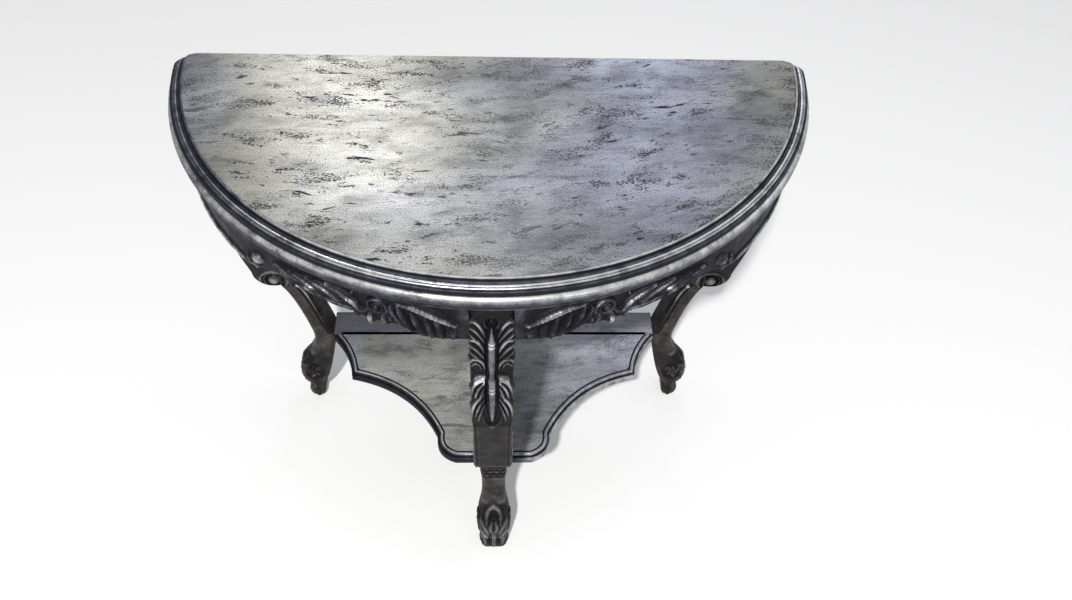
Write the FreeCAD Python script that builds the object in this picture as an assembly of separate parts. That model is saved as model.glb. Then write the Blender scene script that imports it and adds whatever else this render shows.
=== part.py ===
import FreeCAD, Part
import math
import os

# Half-round console table on three carved scroll legs, in millimetres.
# The plan is drawn about the centre of the half round, on the back edge:
# +X to the right, -Y to the front, Z = 0 on the floor.

# Driving sizes of the whole table
table_height = 800.0
top_radius = 493.0
shelf_top_height = 200.0
overrun = 20.0
seat_clearance = 0.1
curve_tolerance = 0.6
cove_facets = 2
round_facets = 4

# Top board and its moulded edge
board_thickness = 18.0
field_inset = 23.0
field_step = 1.5
cove_width = 8.0
cove_depth = 5.0
cove_bow = 1.5
edge_land = 4.0
edge_bead_radius = 2.5
edge_fillet_width = 3.0

# Rim moulding under the board, in three segments
rim_height = 37.0
rim_width = 93.0
rim_round_radius = 10.0
rim_foot_inset = 15.0
rim_foot_land = 3.0
rim_cove_land = 2.0
rim_cove_bow = 2.5
rim_seam_angle = 31.0
tongue_length = 60.0
tongue_width = 24.0
tongue_thickness = 6.0

# Curved apron between the legs
apron_inset = 18.0
apron_thickness = 22.0
apron_depth = 65.0
apron_arch_angle = 33.0
apron_arch_rise = 27.0
apron_arch_radius = 160.0
apron_bead_radius = 4.0
apron_bead_angle = 47.0

# Back rail along the wall
rail_thickness = 22.0
rail_depth = 55.0

# Carved sprays on the apron beside the front leg
spray_relief = 9.0
spray_angle = 16.0
spray_volute_radius = 15.0
spray_length = 165.0
spray_drop = 42.0
spray_leaf_width = 17.0

# Scroll leg: widths across, then depths and insets from its face, then heights
leg_width = 60.0
ankle_width = 43.0
pad_width = 52.0
leg_face_inset = 5.0
leg_block_depth = 74.0
knee_swell = 14.0
scroll_inset = 35.0
ankle_inset = 122.0
ankle_depth = 45.0
toe_inset = 83.0
pad_inset = 91.0
pad_length = 38.0
front_leg_advance = 31.0
knee_height = 620.0
block_bottom_height = 650.0
scroll_height = 371.0
roll_radius = 35.0
toe_height = 75.0
pad_height = 26.0

# Carving on the knee and on the scroll
upper_leaf_top = 728.0
upper_leaf_bottom = 630.0
lower_leaf_top = 622.0
lower_leaf_bottom = 486.0
upper_leaf_relief = 4.0
lower_leaf_relief = 6.0
leaf_notch = 5.0
leaf_lobes = 3
pod_top = 713.0
pod_bottom = 498.0
pod_width = 18.0
pod_relief = 8.0
eye_radius = 12.5
eye_groove = 4.0
eye_depth = 3.5
eye_drop = 15.0
knob_radius = 8.0
knob_groove = 3.0
knob_rise = 50.0
knob_out = 16.0

# Lower shelf in two boards
shelf_thickness = 20.0
shelf_joint_depth = 57.0
shelf_corner_inset = 43.0
shelf_corner_depth = 153.0
shelf_nose_half = 100.0
shelf_nose_set_back = 51.0
shelf_front_half = 66.0
shelf_housing = 5.0
shelf_edge_step = 4.0
shelf_edge_height = 6.0
batten_width = 30.0
batten_length = 130.0
batten_thickness = 15.0
batten_place = 150.0

# Joinery: loose tenons and glue blocks
tenon_length = 40.0
tenon_width = 30.0
tenon_thickness = 8.0
block_size = 50.0
block_height = 50.0

# Shares of the stretches between the named points of the leg's side outline
knee_swell_shares = [(0.75, 0.50)]
knee_to_scroll_shares = [(0.12, 0.30), (0.36, 0.56), (0.68, 0.80)]
scroll_to_ankle_shares = [(0.32, 0.24), (0.68, 0.56)]
ankle_to_toe_shares = [(0.27, 0.30), (0.72, 0.56)]
toe_to_pad_shares = [(0.15, 0.45)]
pad_to_ankle_shares = [(0.13, 0.22), (0.55, 0.60)]
ankle_to_block_shares = [(0.12, 0.12), (0.28, 0.25), (0.48, 0.36), (0.75, 0.58), (0.96, 0.82)]
limb_width_shares = [(0.76, 0.14), (1.0, 0.55)]
foot_width_shares = [(0.55, 0.42), (1.0, 0.78)]
lobe_tip_share = 0.67
roll_end_angle = 250.0

# Each leaf of a spray: its root along the stem, its length and its lean from straight down
spray_leaf_root_shares = [0.10, 0.30, 0.50, 0.70]
spray_leaf_length_shares = [0.95, 0.85, 0.70, 0.55]
spray_leaf_lean_shares = [0.16, 0.30, 0.44, 0.55]

# Bows of the shelf's edges, as shares of their chords
side_hollow_share = 0.08
front_hollow_share = 0.125
nose_round_share = 0.20

# Heights and reaches from the table's centre that follow from the driving sizes
field_radius = top_radius - field_inset
rim_foot_radius = top_radius - rim_foot_inset
rim_inner_radius = rim_foot_radius - rim_width
apron_radius = top_radius - apron_inset
leg_face_reach = apron_radius - leg_face_inset
leg_back_reach = leg_face_reach - leg_block_depth
scroll_reach = leg_face_reach - scroll_inset
ankle_reach = leg_face_reach - ankle_inset
ankle_inner_reach = ankle_reach - ankle_depth
toe_reach = leg_face_reach - toe_inset
pad_outer_reach = leg_face_reach - pad_inset
pad_inner_reach = pad_outer_reach - pad_length
board_bottom = table_height - board_thickness
rim_bottom = board_bottom - rim_height
apron_bottom = rim_bottom - apron_depth
apron_inner_radius = apron_radius - apron_thickness
apron_middle_radius = apron_radius - apron_thickness / 2
leg_top_reach = (leg_face_reach + leg_back_reach) / 2
side_leg_depth = leg_width / 2
shelf_bottom = shelf_top_height - shelf_thickness
shelf_middle = shelf_top_height - shelf_thickness / 2
shelf_end_reach = ankle_inner_reach + shelf_housing
shelf_front_reach = shelf_end_reach + front_leg_advance
shelf_corner_half = shelf_end_reach - shelf_corner_inset
shelf_nose_depth = shelf_front_reach - shelf_nose_set_back
block_bottom = rim_bottom - block_height
batten_bottom = shelf_bottom - batten_thickness

up = FreeCAD.Vector(0, 0, 1)
along_x = FreeCAD.Vector(1, 0, 0)
along_y = FreeCAD.Vector(0, 1, 0)
origin = FreeCAD.Vector(0, 0, 0)


def side_point(reach, height):
    return FreeCAD.Vector(reach, 0, height)


def front_point(across, height):
    return FreeCAD.Vector(0, across, height)


def polar(radius, angle, height=0):
    turn = math.radians(angle)
    return FreeCAD.Vector(radius * math.sin(turn), -radius * math.cos(turn), height)


def line(start, end):
    return Part.LineSegment(start, end).toShape()


def arc(start, middle, end):
    return Part.Arc(start, middle, end).toShape()


def curve(points):
    """Smooth chain of arcs through the points."""
    spline = Part.BSplineCurve()
    spline.interpolate(points)
    return [piece.toShape() for piece in spline.toBiArcs(curve_tolerance)]


def facets(start, middle, end, count):
    """Points along a moulding's arc, which is turned as narrow flats."""
    return Part.Arc(start, middle, end).discretize(Number=count + 1)


def stretch(start, end, shares):
    """Points from start to end, with shares of the way across and of the way up between them."""
    step = end - start
    middle = [start + FreeCAD.Vector(step.x * across, step.y * across, step.z * rise) for across, rise in shares]
    return [start] + middle + [end]


def face_of(edges):
    return Part.Face(Part.Wire(Part.__sortEdges__(edges)))


def turned(points, angle):
    """Profile of reach against height, turned about the table's centre from the right towards the front."""
    profile = Part.Face(Part.makePolygon(points + [points[0]]))
    return profile.revolve(origin, up, -angle)


def block(low, high):
    size = high - low
    return Part.makeBox(size.x, size.y, size.z, low)


def rod(start, direction, radius, length):
    return Part.makeCylinder(radius, length, start, direction)


def half_ring(inner, outer, low, high):
    section = [side_point(inner, low), side_point(outer, low), side_point(outer, high), side_point(inner, high)]
    return turned(section, 180)


def wedge(start_angle, end_angle, low, high):
    """Upright wedge about the table's centre, between two angles counted from the front."""
    far = (top_radius + overrun) / math.cos(math.radians(end_angle - start_angle) / 2)
    first = polar(far, start_angle, low)
    last = polar(far, end_angle, low)
    centre = side_point(0, low)
    edges = [line(centre, first), line(first, last), line(last, centre)]
    return face_of(edges).extrude(up * (high - low))


def mirrored(shape):
    return shape.mirror(origin, along_x)


def top_board():
    cove_start = side_point(field_radius, table_height - field_step)
    cove_end = cove_start + side_point(cove_width, -cove_depth)
    cove_middle = cove_start + (cove_end - cove_start) / 2 - side_point(cove_bow, cove_bow)
    bead_start = cove_end + along_x * edge_land
    bead_end = bead_start + side_point(edge_bead_radius, -edge_bead_radius)
    bead_turn = edge_bead_radius * (1 - math.sqrt(2) / 2)
    bead_middle = bead_end + side_point(-bead_turn, edge_bead_radius - bead_turn)
    edge_reach = bead_end.x + edge_fillet_width
    points = [side_point(0, board_bottom), side_point(0, table_height), side_point(field_radius, table_height)]
    points += facets(cove_start, cove_middle, cove_end, cove_facets)
    points += facets(bead_start, bead_middle, bead_end, cove_facets)
    points += [side_point(edge_reach, bead_end.z), side_point(edge_reach, board_bottom)]
    return turned(points, 180)


def rim_ring():
    round_reach = top_radius - rim_round_radius
    round_low = side_point(round_reach, board_bottom - 2 * rim_round_radius)
    round_middle = side_point(top_radius, board_bottom - rim_round_radius)
    cove_low = side_point(rim_foot_radius, rim_bottom + rim_foot_land)
    cove_high = round_low - up * rim_cove_land
    cove_middle = cove_low + (cove_high - cove_low) / 2 + side_point(-rim_cove_bow, rim_cove_bow)
    points = [side_point(rim_inner_radius, rim_bottom), side_point(rim_foot_radius, rim_bottom)]
    points += facets(cove_low, cove_middle, cove_high, cove_facets)
    points += facets(round_low, round_middle, side_point(round_reach, board_bottom), round_facets)
    points.append(side_point(rim_inner_radius, board_bottom))
    return turned(points, 180)


def rim_tongue(clearance):
    """Loose tongue that lies flat across the seam on the right, in a slot grown by the clearance."""
    middle = (rim_inner_radius + rim_foot_radius) / 2
    height = rim_bottom + rim_height / 2
    half = FreeCAD.Vector(tongue_length / 2, tongue_width / 2, tongue_thickness / 2)
    grown = half + FreeCAD.Vector(clearance, clearance, clearance)
    tongue = block(grown * -1, grown)
    tongue.translate(side_point(middle, height))
    tongue.rotate(origin, up, rim_seam_angle - 90)
    return tongue


def leg_outline(advance):
    """Side outline of a leg: reach from the table's centre against height, foot and scroll moved by advance."""
    top_face = side_point(leg_face_reach, rim_bottom)
    knee = side_point(leg_face_reach + knee_swell, knee_height)
    scroll = side_point(scroll_reach + advance, scroll_height)
    centre = scroll_centre(advance)
    end_turn = math.radians(roll_end_angle)
    roll_end = centre + side_point(math.cos(end_turn), math.sin(end_turn)) * roll_radius
    roll_low = centre - up * roll_radius
    ankle = side_point(ankle_reach + advance, shelf_middle)
    toe = side_point(toe_reach + advance, toe_height)
    pad = side_point(pad_outer_reach + advance, pad_height)
    pad_back = side_point(pad_inner_reach + advance, pad_height)
    ankle_back = side_point(ankle_inner_reach + advance, shelf_middle)
    block_back = side_point(leg_back_reach, block_bottom_height)
    top_back = side_point(leg_back_reach, rim_bottom)
    knee_points = stretch(top_face, knee, knee_swell_shares)
    scroll_points = stretch(knee, scroll, knee_to_scroll_shares)
    ankle_points = stretch(roll_end, ankle, scroll_to_ankle_shares)
    toe_points = stretch(ankle, toe, ankle_to_toe_shares)
    pad_points = stretch(toe, pad, toe_to_pad_shares)
    back_points = stretch(pad_back, ankle_back, pad_to_ankle_shares)
    rise_points = stretch(ankle_back, block_back, ankle_to_block_shares)
    edges = curve(knee_points + scroll_points[1:])
    edges.append(arc(scroll, roll_low, roll_end))
    edges += curve(ankle_points + toe_points[1:] + pad_points[1:])
    edges.append(line(pad, side_point(pad.x, 0)))
    edges.append(line(side_point(pad.x, 0), side_point(pad_back.x, 0)))
    edges.append(line(side_point(pad_back.x, 0), pad_back))
    edges += curve(back_points + rise_points[1:])
    edges.append(line(block_back, top_back))
    edges.append(line(top_back, top_face))
    return face_of(edges)


def scroll_centre(advance):
    return side_point(scroll_reach + advance - roll_radius, scroll_height)


def front_edge(sign):
    """One edge of the leg seen from the front, from its top down to the floor."""
    half_leg = sign * leg_width / 2
    half_ankle = sign * ankle_width / 2
    half_pad = sign * pad_width / 2
    roll_bottom = scroll_height - roll_radius
    limb_drop = shelf_middle - roll_bottom
    foot_drop = toe_height - shelf_middle
    points = [front_point(half_leg, roll_bottom)]
    for narrow, drop in limb_width_shares:
        points.append(front_point(half_leg + (half_ankle - half_leg) * narrow, roll_bottom + limb_drop * drop))
    points.append(front_point(half_ankle, shelf_middle))
    for widen, drop in foot_width_shares:
        points.append(front_point(half_ankle + (half_leg - half_ankle) * widen, shelf_middle + foot_drop * drop))
    points.append(front_point(half_leg, (toe_height + pad_height) / 2))
    points.append(front_point(half_pad, pad_height))
    top = front_point(half_leg, rim_bottom)
    floor = front_point(half_pad, 0)
    return top, floor, [line(top, points[0]), line(points[-1], floor)] + curve(points)


def leg_front_view():
    top_right, floor_right, right = front_edge(1)
    top_left, floor_left, left = front_edge(-1)
    return face_of(right + left + [line(floor_right, floor_left), line(top_left, top_right)])


def leaf_view(high, low):
    """Front view of a carved leaf with round lobes down both edges."""
    half = leg_width / 2
    drop = (high - low) / leaf_lobes
    edges = []
    for side in (1, -1):
        for lobe in range(leaf_lobes):
            top = high - lobe * drop
            start = front_point(side * (half - leaf_notch), top)
            middle = front_point(side * half, top - drop * lobe_tip_share)
            edges.append(arc(start, middle, start - up * drop))
    for height in (high, low):
        edges.append(line(front_point(leaf_notch - half, height), front_point(half - leaf_notch, height)))
    return face_of(edges)


def pod_view():
    """Front view of the long pod down the middle of the knee."""
    top = front_point(0, pod_top)
    bottom = front_point(0, pod_bottom)
    middle = top + (bottom - top) / 2
    half = along_y * (pod_width / 2)
    return face_of([arc(top, middle + half, bottom), arc(top, middle - half, bottom)])


def raised(outline, relief, view):
    """Carving that stands proud of the knee: the leg's outline moved out by the relief, cut to a front view."""
    slab = outline.extrude(along_y * leg_width)
    slab.translate(along_x * relief - along_y * (leg_width / 2))
    front = view.extrude(along_x * top_radius)
    front.translate(along_x * leg_top_reach)
    return slab.common(front)


def scroll_grooves(advance, sides):
    """Ring grooves round the scroll's eye and round the knob above it, on the side faces that show."""
    eye = scroll_centre(advance) - up * eye_drop
    knob = eye + side_point(knob_out, knob_rise)
    grooves = []
    for side in sides:
        face = along_y * (side * (leg_width / 2 - eye_depth))
        outward = along_y * side
        depth = eye_depth + overrun
        for centre, radius, width in ((eye, eye_radius, eye_groove), (knob, knob_radius, knob_groove)):
            ring = rod(centre + face, outward, radius + width, depth)
            grooves.append(ring.cut(rod(centre + face, outward, radius, depth)))
    return grooves


def leg(advance, sides):
    outline = leg_outline(advance)
    slab = outline.extrude(along_y * leg_width)
    slab.translate(along_y * (-leg_width / 2))
    body = slab.common(leg_front_view().extrude(along_x * (top_radius + overrun)))
    upper = raised(outline, upper_leaf_relief, leaf_view(upper_leaf_top, upper_leaf_bottom))
    lower = raised(outline, lower_leaf_relief, leaf_view(lower_leaf_top, lower_leaf_bottom))
    body = body.fuse([upper, lower, raised(outline, pod_relief, pod_view())])
    body = body.cut(scroll_grooves(advance, sides))
    return body.removeSplitter()


def place_front(shape):
    moved = shape.copy()
    moved.rotate(origin, up, -90)
    return moved


def place_right(shape):
    moved = shape.copy()
    moved.translate(along_y * -side_leg_depth)
    return moved


def apron():
    """Right-hand apron, arched below and beaded towards the side leg."""
    ring = half_ring(apron_inner_radius, apron_radius, apron_bottom, rim_bottom)
    bead_low = side_point(apron_radius, apron_bottom)
    bead_middle = bead_low + side_point(apron_bead_radius, apron_bead_radius)
    bead_high = bead_low + up * (2 * apron_bead_radius)
    bead = facets(bead_low, bead_middle, bead_high, round_facets)
    bead += [bead_high - along_x * apron_bead_radius, bead_low - along_x * apron_bead_radius]
    ring = ring.fuse(turned(bead, 90 - apron_bead_angle))
    arch_top = apron_bottom + apron_arch_rise
    arch_start = polar(rim_inner_radius, apron_arch_angle, arch_top - apron_arch_radius)
    arch_length = top_radius + overrun - rim_inner_radius
    ring = ring.cut(rod(arch_start, polar(1, apron_arch_angle), apron_arch_radius, arch_length))
    room = block(FreeCAD.Vector(leg_width / 2, -top_radius, apron_bottom),
                 FreeCAD.Vector(top_radius, -leg_width, rim_bottom))
    return ring.common(room).removeSplitter()


def back_rail():
    """Rail with shoulders: its upper part fits between the rim's ends, its lower part between the legs."""
    rail_bottom = rim_bottom - rail_depth
    high = block(FreeCAD.Vector(-rim_inner_radius, -rail_thickness, rail_bottom),
                 FreeCAD.Vector(rim_inner_radius, 0, board_bottom))
    room = Part.makeCylinder(rim_inner_radius, rim_height, side_point(0, rim_bottom))
    low = block(FreeCAD.Vector(-leg_back_reach, -rail_thickness, rail_bottom),
                FreeCAD.Vector(leg_back_reach, 0, rim_bottom))
    return low.fuse(high.common(room)).removeSplitter()


def spray_leaf(root, lean, length):
    """Pointed leaf as two arcs, root at the top."""
    tip = root + front_point(-math.sin(lean), -math.cos(lean)) * length
    side = front_point(math.cos(lean), -math.sin(lean)) * (spray_leaf_width / 2)
    middle = root + (tip - root) / 2
    return face_of([arc(root, middle + side, tip), arc(tip, middle - side, root)])


def spray():
    """Right-hand acanthus spray: a volute, a stem and leaves that lean towards the front leg."""
    stem_high = rim_bottom - spray_volute_radius
    far = spray_length / 2
    volute_middle = front_point(far - spray_volute_radius, stem_high - spray_volute_radius)
    stem_start = volute_middle + up * spray_volute_radius
    stem_end = front_point(-far, stem_high - spray_drop / 2)
    stem_middle = stem_start + (stem_end - stem_start) / 2 + up * (spray_leaf_width / 2)
    low_middle = stem_middle - up * spray_leaf_width
    flats = [face_of([arc(stem_start, stem_middle, stem_end), arc(stem_end, low_middle, stem_start)])]
    flats.append(face_of([Part.Circle(volute_middle, along_x, spray_volute_radius).toShape()]))
    leaves = zip(spray_leaf_root_shares, spray_leaf_length_shares, spray_leaf_lean_shares)
    for root_share, length_share, lean_share in leaves:
        root = stem_end + (stem_start - stem_end) * root_share + up * (spray_leaf_width / 4)
        flats.append(spray_leaf(root, lean_share * math.pi / 2, spray_drop * length_share))
    solids = [flat.extrude(along_x * (2 * spray_relief + apron_thickness)) for flat in flats]
    carving = solids[0].fuse(solids[1:])
    carving.translate(along_x * apron_inner_radius)
    carving.rotate(origin, up, spray_angle - 90)
    outer = apron_radius + spray_relief
    carving = carving.common(half_ring(apron_radius, outer, apron_bottom - spray_drop, rim_bottom))
    return carving.removeSplitter()


def bowed(start, end, share):
    """Arc between two points, bowed to the left of the way by a share of its chord."""
    chord = end - start
    offset = FreeCAD.Vector(-chord.y, chord.x, 0) * share
    return arc(start, start + chord / 2 + offset, end)


def shelf_face():
    rear = FreeCAD.Vector(shelf_end_reach, -shelf_joint_depth, 0)
    corner = FreeCAD.Vector(shelf_corner_half, -shelf_corner_depth, 0)
    nose = FreeCAD.Vector(shelf_nose_half, -shelf_nose_depth, 0)
    front = FreeCAD.Vector(shelf_front_half, -shelf_front_reach, 0)
    half = [
        bowed(rear, corner, -side_hollow_share),
        bowed(corner, nose, -front_hollow_share),
        bowed(nose, front, nose_round_share),
    ]
    across = [line(point, FreeCAD.Vector(-point.x, point.y, 0)) for point in (rear, front)]
    return face_of(half + [mirrored(edge) for edge in half] + across)


def shelf_board():
    flat = shelf_face()
    step_height = shelf_thickness - shelf_edge_height
    strip = block(FreeCAD.Vector(-shelf_end_reach, -shelf_joint_depth - shelf_edge_step, 0),
                  FreeCAD.Vector(shelf_end_reach, -shelf_joint_depth, shelf_edge_height))
    upper = flat.makeOffset2D(-shelf_edge_step).extrude(up * shelf_edge_height)
    upper = upper.fuse(strip.common(flat.extrude(up * shelf_edge_height)))
    upper.translate(up * step_height)
    board = flat.extrude(up * step_height).fuse(upper).removeSplitter()
    board.translate(up * shelf_bottom)
    return board


def shelf_rear_board():
    return block(FreeCAD.Vector(-shelf_end_reach, -shelf_joint_depth, shelf_bottom),
                 FreeCAD.Vector(shelf_end_reach, 0, shelf_top_height))


def batten():
    """Right-hand batten glued under the shelf, across the joint line."""
    back = shelf_joint_depth - batten_length / 2
    low = FreeCAD.Vector(batten_place - batten_width / 2, -back - batten_length, batten_bottom)
    high = FreeCAD.Vector(batten_place + batten_width / 2, -back, shelf_bottom)
    rear_limit = block(FreeCAD.Vector(0, -top_radius, batten_bottom), FreeCAD.Vector(top_radius, 0, shelf_bottom))
    return block(low, high).common(rear_limit)


def tenon(middle, length_way, width_way, clearance):
    """Loose tenon centred on a joint face; the clearance grows it into its mortise."""
    thick_way = length_way.cross(width_way)
    half = length_way * (tenon_length / 2 + clearance)
    half += width_way * (tenon_width / 2 + clearance)
    half += thick_way * (tenon_thickness / 2 + clearance)
    half = FreeCAD.Vector(abs(half.x), abs(half.y), abs(half.z))
    return block(middle - half, middle + half)


def apron_front_tenon(clearance):
    reach = math.sqrt(apron_middle_radius ** 2 - leg_width ** 2 / 4)
    middle = FreeCAD.Vector(leg_width / 2, -reach, rim_bottom - apron_depth / 2)
    return tenon(middle, along_x, up, clearance)


def apron_side_tenon(clearance):
    reach = math.sqrt(apron_middle_radius ** 2 - (leg_width + tenon_length / 4) ** 2)
    middle = FreeCAD.Vector(reach, -leg_width, rim_bottom - apron_depth / 2)
    return tenon(middle, along_y, up, clearance)


def rail_tenon(clearance):
    middle = FreeCAD.Vector(leg_back_reach, -rail_thickness / 2, rim_bottom - rail_depth / 2)
    return tenon(middle, along_x, up, clearance)


def shelf_side_tenon(clearance):
    return tenon(FreeCAD.Vector(shelf_end_reach, -side_leg_depth, shelf_middle), along_x, along_y, clearance)


def shelf_front_tenon(clearance):
    return tenon(FreeCAD.Vector(0, -shelf_front_reach, shelf_middle), along_y, along_x, clearance)


def top_side_tenon(clearance):
    return tenon(FreeCAD.Vector(leg_top_reach, -side_leg_depth, rim_bottom), up, along_x, clearance)


def top_front_tenon(clearance):
    return tenon(FreeCAD.Vector(0, -leg_top_reach, rim_bottom), up, along_y, clearance)


def front_block():
    """Glue block in the corner between the front leg and the right-hand apron."""
    near = leg_width / 2
    corner = block(FreeCAD.Vector(near, -apron_inner_radius, block_bottom),
                   FreeCAD.Vector(near + block_size, block_size - apron_inner_radius, rim_bottom))
    return corner.common(apron_room())


def rear_block():
    """Glue block in the corner between the right-hand apron and the side leg."""
    corner = block(FreeCAD.Vector(apron_inner_radius - block_size, -leg_width - block_size, block_bottom),
                   FreeCAD.Vector(apron_inner_radius, -leg_width, rim_bottom))
    return corner.common(apron_room())


def apron_room():
    return Part.makeCylinder(apron_inner_radius, block_height, side_point(0, block_bottom))


def mortised(shape, *tenons):
    """The shape with a mortise, one clearance larger, for each of the tenons."""
    return shape.cut([one(seat_clearance) for one in tenons])


def mortised_both(shape, *tenons):
    """As mortised, for a piece that crosses the middle of the table."""
    return mortised(mirrored(mortised(shape, *tenons)), *tenons)


def rim_segments():
    ring = mortised_both(rim_ring(), rim_tongue, top_side_tenon)
    ring = mortised(ring, top_front_tenon)
    front = ring.common(wedge(-rim_seam_angle, rim_seam_angle, rim_bottom, board_bottom))
    side = ring.common(wedge(rim_seam_angle, 90, rim_bottom, board_bottom))
    return front, side


def export(shape, name):
    moved = shape.copy()
    moved.translate(along_y * (top_radius / 2))
    moved.exportStep("parts/" + name + ".step")


def export_pair(shape, name):
    export(shape, name + "_right")
    export(mirrored(shape), name + "_left")


def build():
    os.makedirs("parts", exist_ok=True)
    rim_front, rim_right = rim_segments()
    front_board = mortised(shelf_board(), shelf_front_tenon)
    rear_board = mortised_both(shelf_rear_board(), shelf_side_tenon)

    front_leg = mortised_both(place_front(leg(front_leg_advance, (1, -1))), apron_front_tenon)
    front_leg = mortised(front_leg, shelf_front_tenon, top_front_tenon)
    side_leg = place_right(leg(0, (-1,)))
    side_leg = mortised(side_leg, apron_side_tenon, rail_tenon, shelf_side_tenon, top_side_tenon)

    export(top_board(), "top_board")
    export(rim_front, "rim_front")
    export_pair(rim_right, "rim")
    export_pair(rim_tongue(0), "rim_tongue")
    export_pair(mortised(apron(), apron_front_tenon, apron_side_tenon), "apron")
    export_pair(spray(), "spray")
    export(mortised_both(back_rail(), rail_tenon), "back_rail")
    export(front_leg.cut(front_board), "leg_front")
    export_pair(side_leg.cut(rear_board), "leg")
    export(front_board, "shelf_board")
    export(rear_board, "shelf_rear_board")
    export_pair(batten(), "shelf_batten")
    export_pair(front_block(), "corner_block_front")
    export_pair(rear_block(), "corner_block_rear")
    export_pair(apron_front_tenon(0), "apron_tenon_front")
    export_pair(apron_side_tenon(0), "apron_tenon_side")
    export_pair(rail_tenon(0), "rail_tenon")
    export_pair(shelf_side_tenon(0), "shelf_tenon")
    export(shelf_front_tenon(0), "shelf_tenon_front")
    export_pair(top_side_tenon(0), "top_tenon")
    export(top_front_tenon(0), "top_tenon_front")


build()
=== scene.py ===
# %% [markdown]
# # A half-round console table on carved scroll legs
# The table stands against a wall: a half-round top with a moulded edge, a curved apron with carved sprays,
# three S-scroll legs and a shaped shelf between their ankles. All of it is silver leaf over black, rubbed and toned.
# The CAD model is loaded first and stays put. Each new piece is modelled in the same place, in metres.

# %% Load the measured frame
import math

import bpy
import numpy as np
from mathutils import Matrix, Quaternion, Vector


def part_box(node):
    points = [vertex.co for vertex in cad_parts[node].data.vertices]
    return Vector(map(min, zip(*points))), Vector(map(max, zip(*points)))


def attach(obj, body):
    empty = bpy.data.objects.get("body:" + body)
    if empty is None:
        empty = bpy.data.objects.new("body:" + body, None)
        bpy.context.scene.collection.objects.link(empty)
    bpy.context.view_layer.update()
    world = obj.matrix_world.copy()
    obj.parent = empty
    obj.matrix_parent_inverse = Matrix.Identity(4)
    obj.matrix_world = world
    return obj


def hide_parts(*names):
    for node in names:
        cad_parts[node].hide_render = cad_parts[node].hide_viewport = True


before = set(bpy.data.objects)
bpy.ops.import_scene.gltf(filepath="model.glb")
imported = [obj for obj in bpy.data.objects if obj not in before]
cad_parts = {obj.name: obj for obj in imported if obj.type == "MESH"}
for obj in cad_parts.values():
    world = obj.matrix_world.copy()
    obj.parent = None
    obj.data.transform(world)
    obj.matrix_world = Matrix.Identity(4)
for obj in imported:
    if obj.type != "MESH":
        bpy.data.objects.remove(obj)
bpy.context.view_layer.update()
mm = 0.001
wall_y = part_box("top_board")[1].y
wall = wall_y / mm


# %% [markdown]
# ## Working habits
# The import leaves every CAD node selected, and an operator acts on all that is selected, so each piece starts
# with nothing selected. Reaches are counted from the middle of the back edge, and angles from the front, in degrees.
# Drawn sizes are in millimetres.

# %% Starting clean and finding a place in the plan
weld_gap = 0.01 * mm


def start_clean():
    if bpy.context.object and bpy.context.object.mode != "OBJECT":
        bpy.ops.object.mode_set(mode="OBJECT")
    bpy.ops.object.select_all(action="DESELECT")


def plan_point(reach, angle, height):
    turn = math.radians(angle)
    return Vector((reach * mm * math.sin(turn), wall_y - reach * mm * math.cos(turn), height * mm))


def close_and_smooth(piece, sharp_angle):
    """Welds the seams, fills the open ends, turns all faces outwards and smooths the gentle edges."""
    start_clean()
    piece.select_set(True)
    bpy.context.view_layer.objects.active = piece
    bpy.ops.object.mode_set(mode="EDIT")
    bpy.ops.mesh.select_all(action="SELECT")
    bpy.ops.mesh.remove_doubles(threshold=weld_gap)
    bpy.ops.mesh.fill_holes(sides=0)
    bpy.ops.mesh.select_all(action="SELECT")
    bpy.ops.mesh.normals_make_consistent(inside=False)
    bpy.ops.object.mode_set(mode="OBJECT")
    bpy.ops.object.transform_apply(location=True, rotation=True, scale=True)
    bpy.ops.object.shade_smooth_by_angle(angle=math.radians(sharp_angle))


print("front of the table:", [round(c, 4) for c in plan_point(493, 0, 800)])


# %% [markdown]
# ## Turned mouldings
# The edge of the top and the rim below it are mouldings bent round a half circle. By hand a maker would run a
# scraper with the profile round the curve, and spinning a drawn profile does the same. Each point of a profile has
# its reach, its height and a third number: how bright the leaf is there, from 0 in the black to 1 on a crest. On
# the rim's round that number is painted highlight and painted shade.

# %% Spinning a profile round the middle of the back edge
def spin_moulding(name, profile, start, end, steps):
    start_clean()
    bpy.ops.mesh.primitive_plane_add(size=mm, location=plan_point(profile[0][0], start, profile[0][1]))
    piece = bpy.context.object
    piece.name = name
    bpy.ops.object.mode_set(mode="EDIT")
    bpy.ops.mesh.merge(type="CENTER")
    for near, far in zip(profile, profile[1:]):
        move = plan_point(far[0], start, far[1]) - plan_point(near[0], start, near[1])
        bpy.ops.mesh.extrude_region_move(TRANSFORM_OT_translate={"value": move})
    bpy.ops.mesh.select_all(action="SELECT")
    bpy.ops.mesh.spin(steps=steps, angle=math.radians(start - end), center=(0, wall_y, 0), axis=(0, 0, 1))
    bpy.ops.object.mode_set(mode="OBJECT")
    close_and_smooth(piece, 40)
    return piece


print("mouldings turn round", (0.0, round(wall_y, 4)), "in the plan")


# %% [markdown]
# ## Rubbing a moulding
# Each point of a moulding takes the brightness of the nearest point of its profile. Then light and shade are
# painted by the side: the beads of the top are painted darker on the left, the rim's painted highlight is evened
# out to grey on the left, and the rim is painted lighter on the right. The brightness is stored on the points,
# where the finish will find it.

# %% Reading points, fading and rubbing
bead_reach, rim_reach = 466.5, 477
board_under, round_top = 782, 776
left_bead_shade, even_share, even_grey = 0.45, 0.55, 0.62


def points_of(piece):
    flat = np.zeros(len(piece.data.vertices) * 3, np.float32)
    piece.data.vertices.foreach_get("co", flat)
    return flat.reshape(-1, 3)


def store_crest(piece, crest):
    layer = piece.data.attributes.new("crest", "FLOAT", "POINT")
    layer.data.foreach_set("value", np.asarray(crest, np.float32).ravel())


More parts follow.
